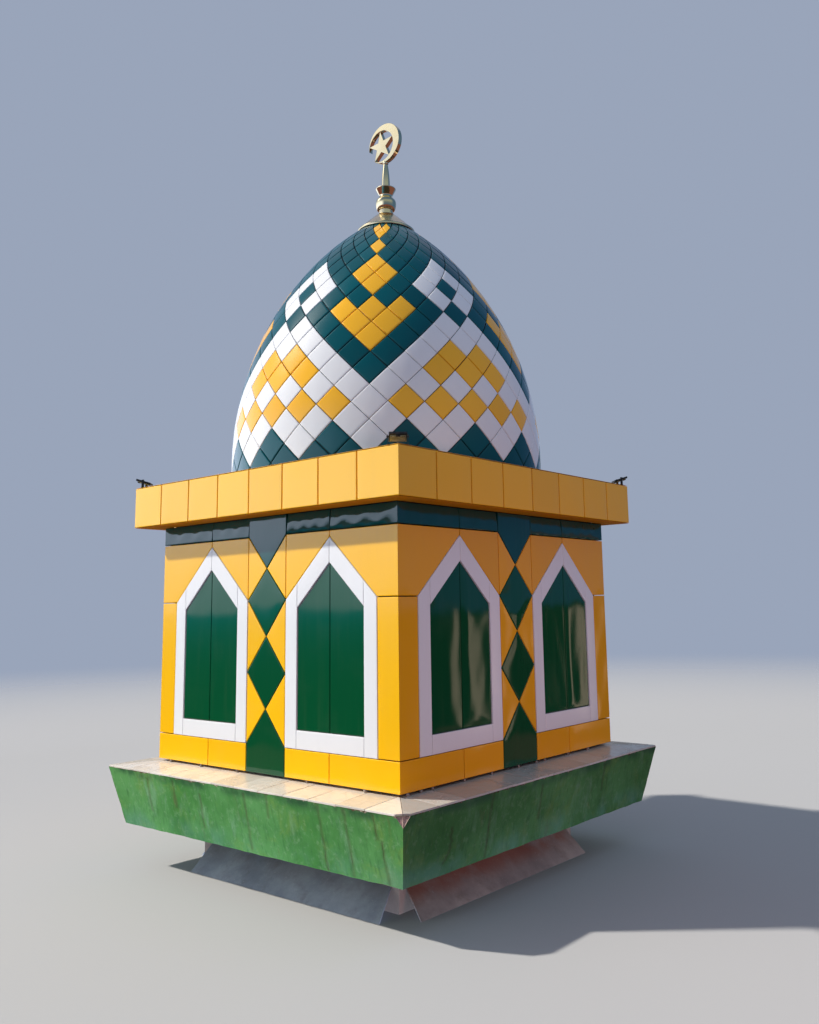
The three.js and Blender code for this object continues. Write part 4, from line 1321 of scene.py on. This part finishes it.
def toward(way, azimuth, start, span):
    """How far a direction turns towards an azimuth in degrees: 1 when it faces it, 0 beyond the span."""
    turn = math.radians(azimuth)
    facing = (way.x * math.cos(turn) + way.y * math.sin(turn)) / max(1e-6, math.hypot(way.x, way.y))
    return float(smoothstep((facing - start) / span))


def bell(x, middle, width):
    return math.exp(-((x - middle) / width) ** 2)


def sky_radiance(point):
    """Blue sky, paler low down, bright and hazy on the sun's side and most of all round the sun."""
    way = point.normalized()
    height = math.degrees(math.asin(max(0.0, min(1.0, way.z))))
    turn = way.angle(SUN)
    side = toward(way, 218.6, 0.20, 0.65)
    behind = toward(way, 313.0, -0.10, 0.70) * (1 - side)
    haze = side * (0.45 + 0.55 * float(smoothstep(height / 6)))
    sky = Vector((0.075, 0.155, 0.335))
    sky += toward(way, 160.0, 0.0, 0.9) * Vector((0.12, 0.12, 0.11))
    sky += haze * bell(max(10.0, height), 10, 13) * Vector((1.45, 1.55, 1.85))
    sky += behind * bell(height, 25, 12) * Vector((0.27, 0.27, 0.12))
    sky += toward(way, 135.0, 0.70, 0.25) * bell(height, 52, 14) * Vector((0.16, 0.09, 0.05))
    sky += toward(way, 133.0, 0.85, 0.12) * bell(height, 0, 14) * Vector((0.42, 0.42, 0.36))
    sky += bell(turn, 0, 0.20) * Vector((4.0, 3.9, 3.7))
    return sky + bell(turn, 0, 0.6) * Vector((0.12, 0.13, 0.13))


def flag_radiance(point):
    """Dark cloth, with a blue-green haze towards its top on the front's side."""
    haze = toward(point, 225.0, 0.20, 0.65) * math.exp(-(EYE_LEVEL - point.z) / 0.35)
    return Vector((0.030, 0.028, 0.022)) + haze * Vector((0.03, 0.42, 0.78))


def build_surroundings():
    """What the enamel reflects: a sky, dark flags with an uneven top, and a few warm strips among them."""
    levels = np.radians(SKY_LEVELS)
    points, faces = turned([(SKY_RADIUS * math.cos(a), SKY_RADIUS * math.sin(a)) for a in levels], 72)
    glowing_mesh("sky_screen", [Vector(p) for p in points], faces, sky_radiance)
    points, faces = turned([(FLAG_RADIUS, z) for z in FLAG_LEVELS], FLAG_SEGMENTS)
    points = [Vector(p) for p in points]
    for p in points[-FLAG_SEGMENTS:]:
        p.z += FLAG_WAVE * noise.fractal(p * 0.9, 0.9, 2.0, 4)
    glowing_mesh("dark_flags", points, faces, flag_radiance)
    warm = glow("warm_strip", (1.25, 0.95, 0.70))
    for i, (x, y, width, low, high) in enumerate(STRIPS):
        along = Vector((-y, x, 0)).normalized() * width / 2
        foot, head = Vector((x, y, low)), Vector((x, y, high))
        corners = [foot - along, foot + along, head + along * STRIP_TAPER, head - along * STRIP_TAPER]
        stage_mesh(f"warm_strip_{i}", corners, [(0, 1, 2, 3)], warm)


def add_lamp(name, kind, way, colour, energy):
    """A lamp that shines along a direction and leaves no reflection."""
    data = bpy.data.lights.new(name, kind)
    data.color, data.energy = colour, energy
    lamp = placed(name, data)
    lamp.rotation_mode = "QUATERNION"
    lamp.rotation_quaternion = way.to_track_quat("-Z", "Y")
    lamp.visible_glossy = False
    return lamp


def build_studio():
    build_floor()
    world = bpy.data.worlds.new("studio")
    bpy.context.scene.world = world
    world.use_nodes = True
    background = world.node_tree.nodes["Background"]
    background.inputs["Color"].default_value = WORLD_COLOUR
    background.inputs["Strength"].default_value = 1.0
    add_lamp("key", "SUN", -SUN, SUN_COLOUR, SUN_ENERGY).data.angle = SUN_ANGLE
    for name, (place, aim, size, colour, energy, spread) in FILLS.items():
        lamp = add_lamp(name, "AREA", Vector(aim) - Vector(place), colour, energy)
        lamp.data.shape, lamp.data.size, lamp.data.size_y = "RECTANGLE", size, size
        lamp.data.spread = math.radians(spread)
        lamp.location = place
        lamp.visible_camera = False
    build_surroundings()


def build_camera():
    data = bpy.data.cameras.new("camera")
    data.sensor_width = SENSOR
    data.lens = FOCAL_PIXELS / IMAGE_HEIGHT * SENSOR
    data.shift_x = (IMAGE_WIDTH / 2 - PRINCIPAL_POINT[0]) / IMAGE_HEIGHT
    data.shift_y = (PRINCIPAL_POINT[1] - IMAGE_HEIGHT / 2) / IMAGE_HEIGHT
    data.clip_end = 200.0
    camera = placed("camera", data)
    turn = Matrix.Rotation(CAMERA_YAW, 4, "Z") @ Matrix.Rotation(math.pi / 2 + CAMERA_PITCH, 4, "X")
    camera.matrix_world = Matrix.Translation(CAMERA_PLACE) @ turn @ Matrix.Rotation(CAMERA_ROLL, 4, "Z")
    bpy.context.scene.camera = camera


build_studio()
build_camera()
bpy.context.scene.view_settings.view_transform = "Standard"
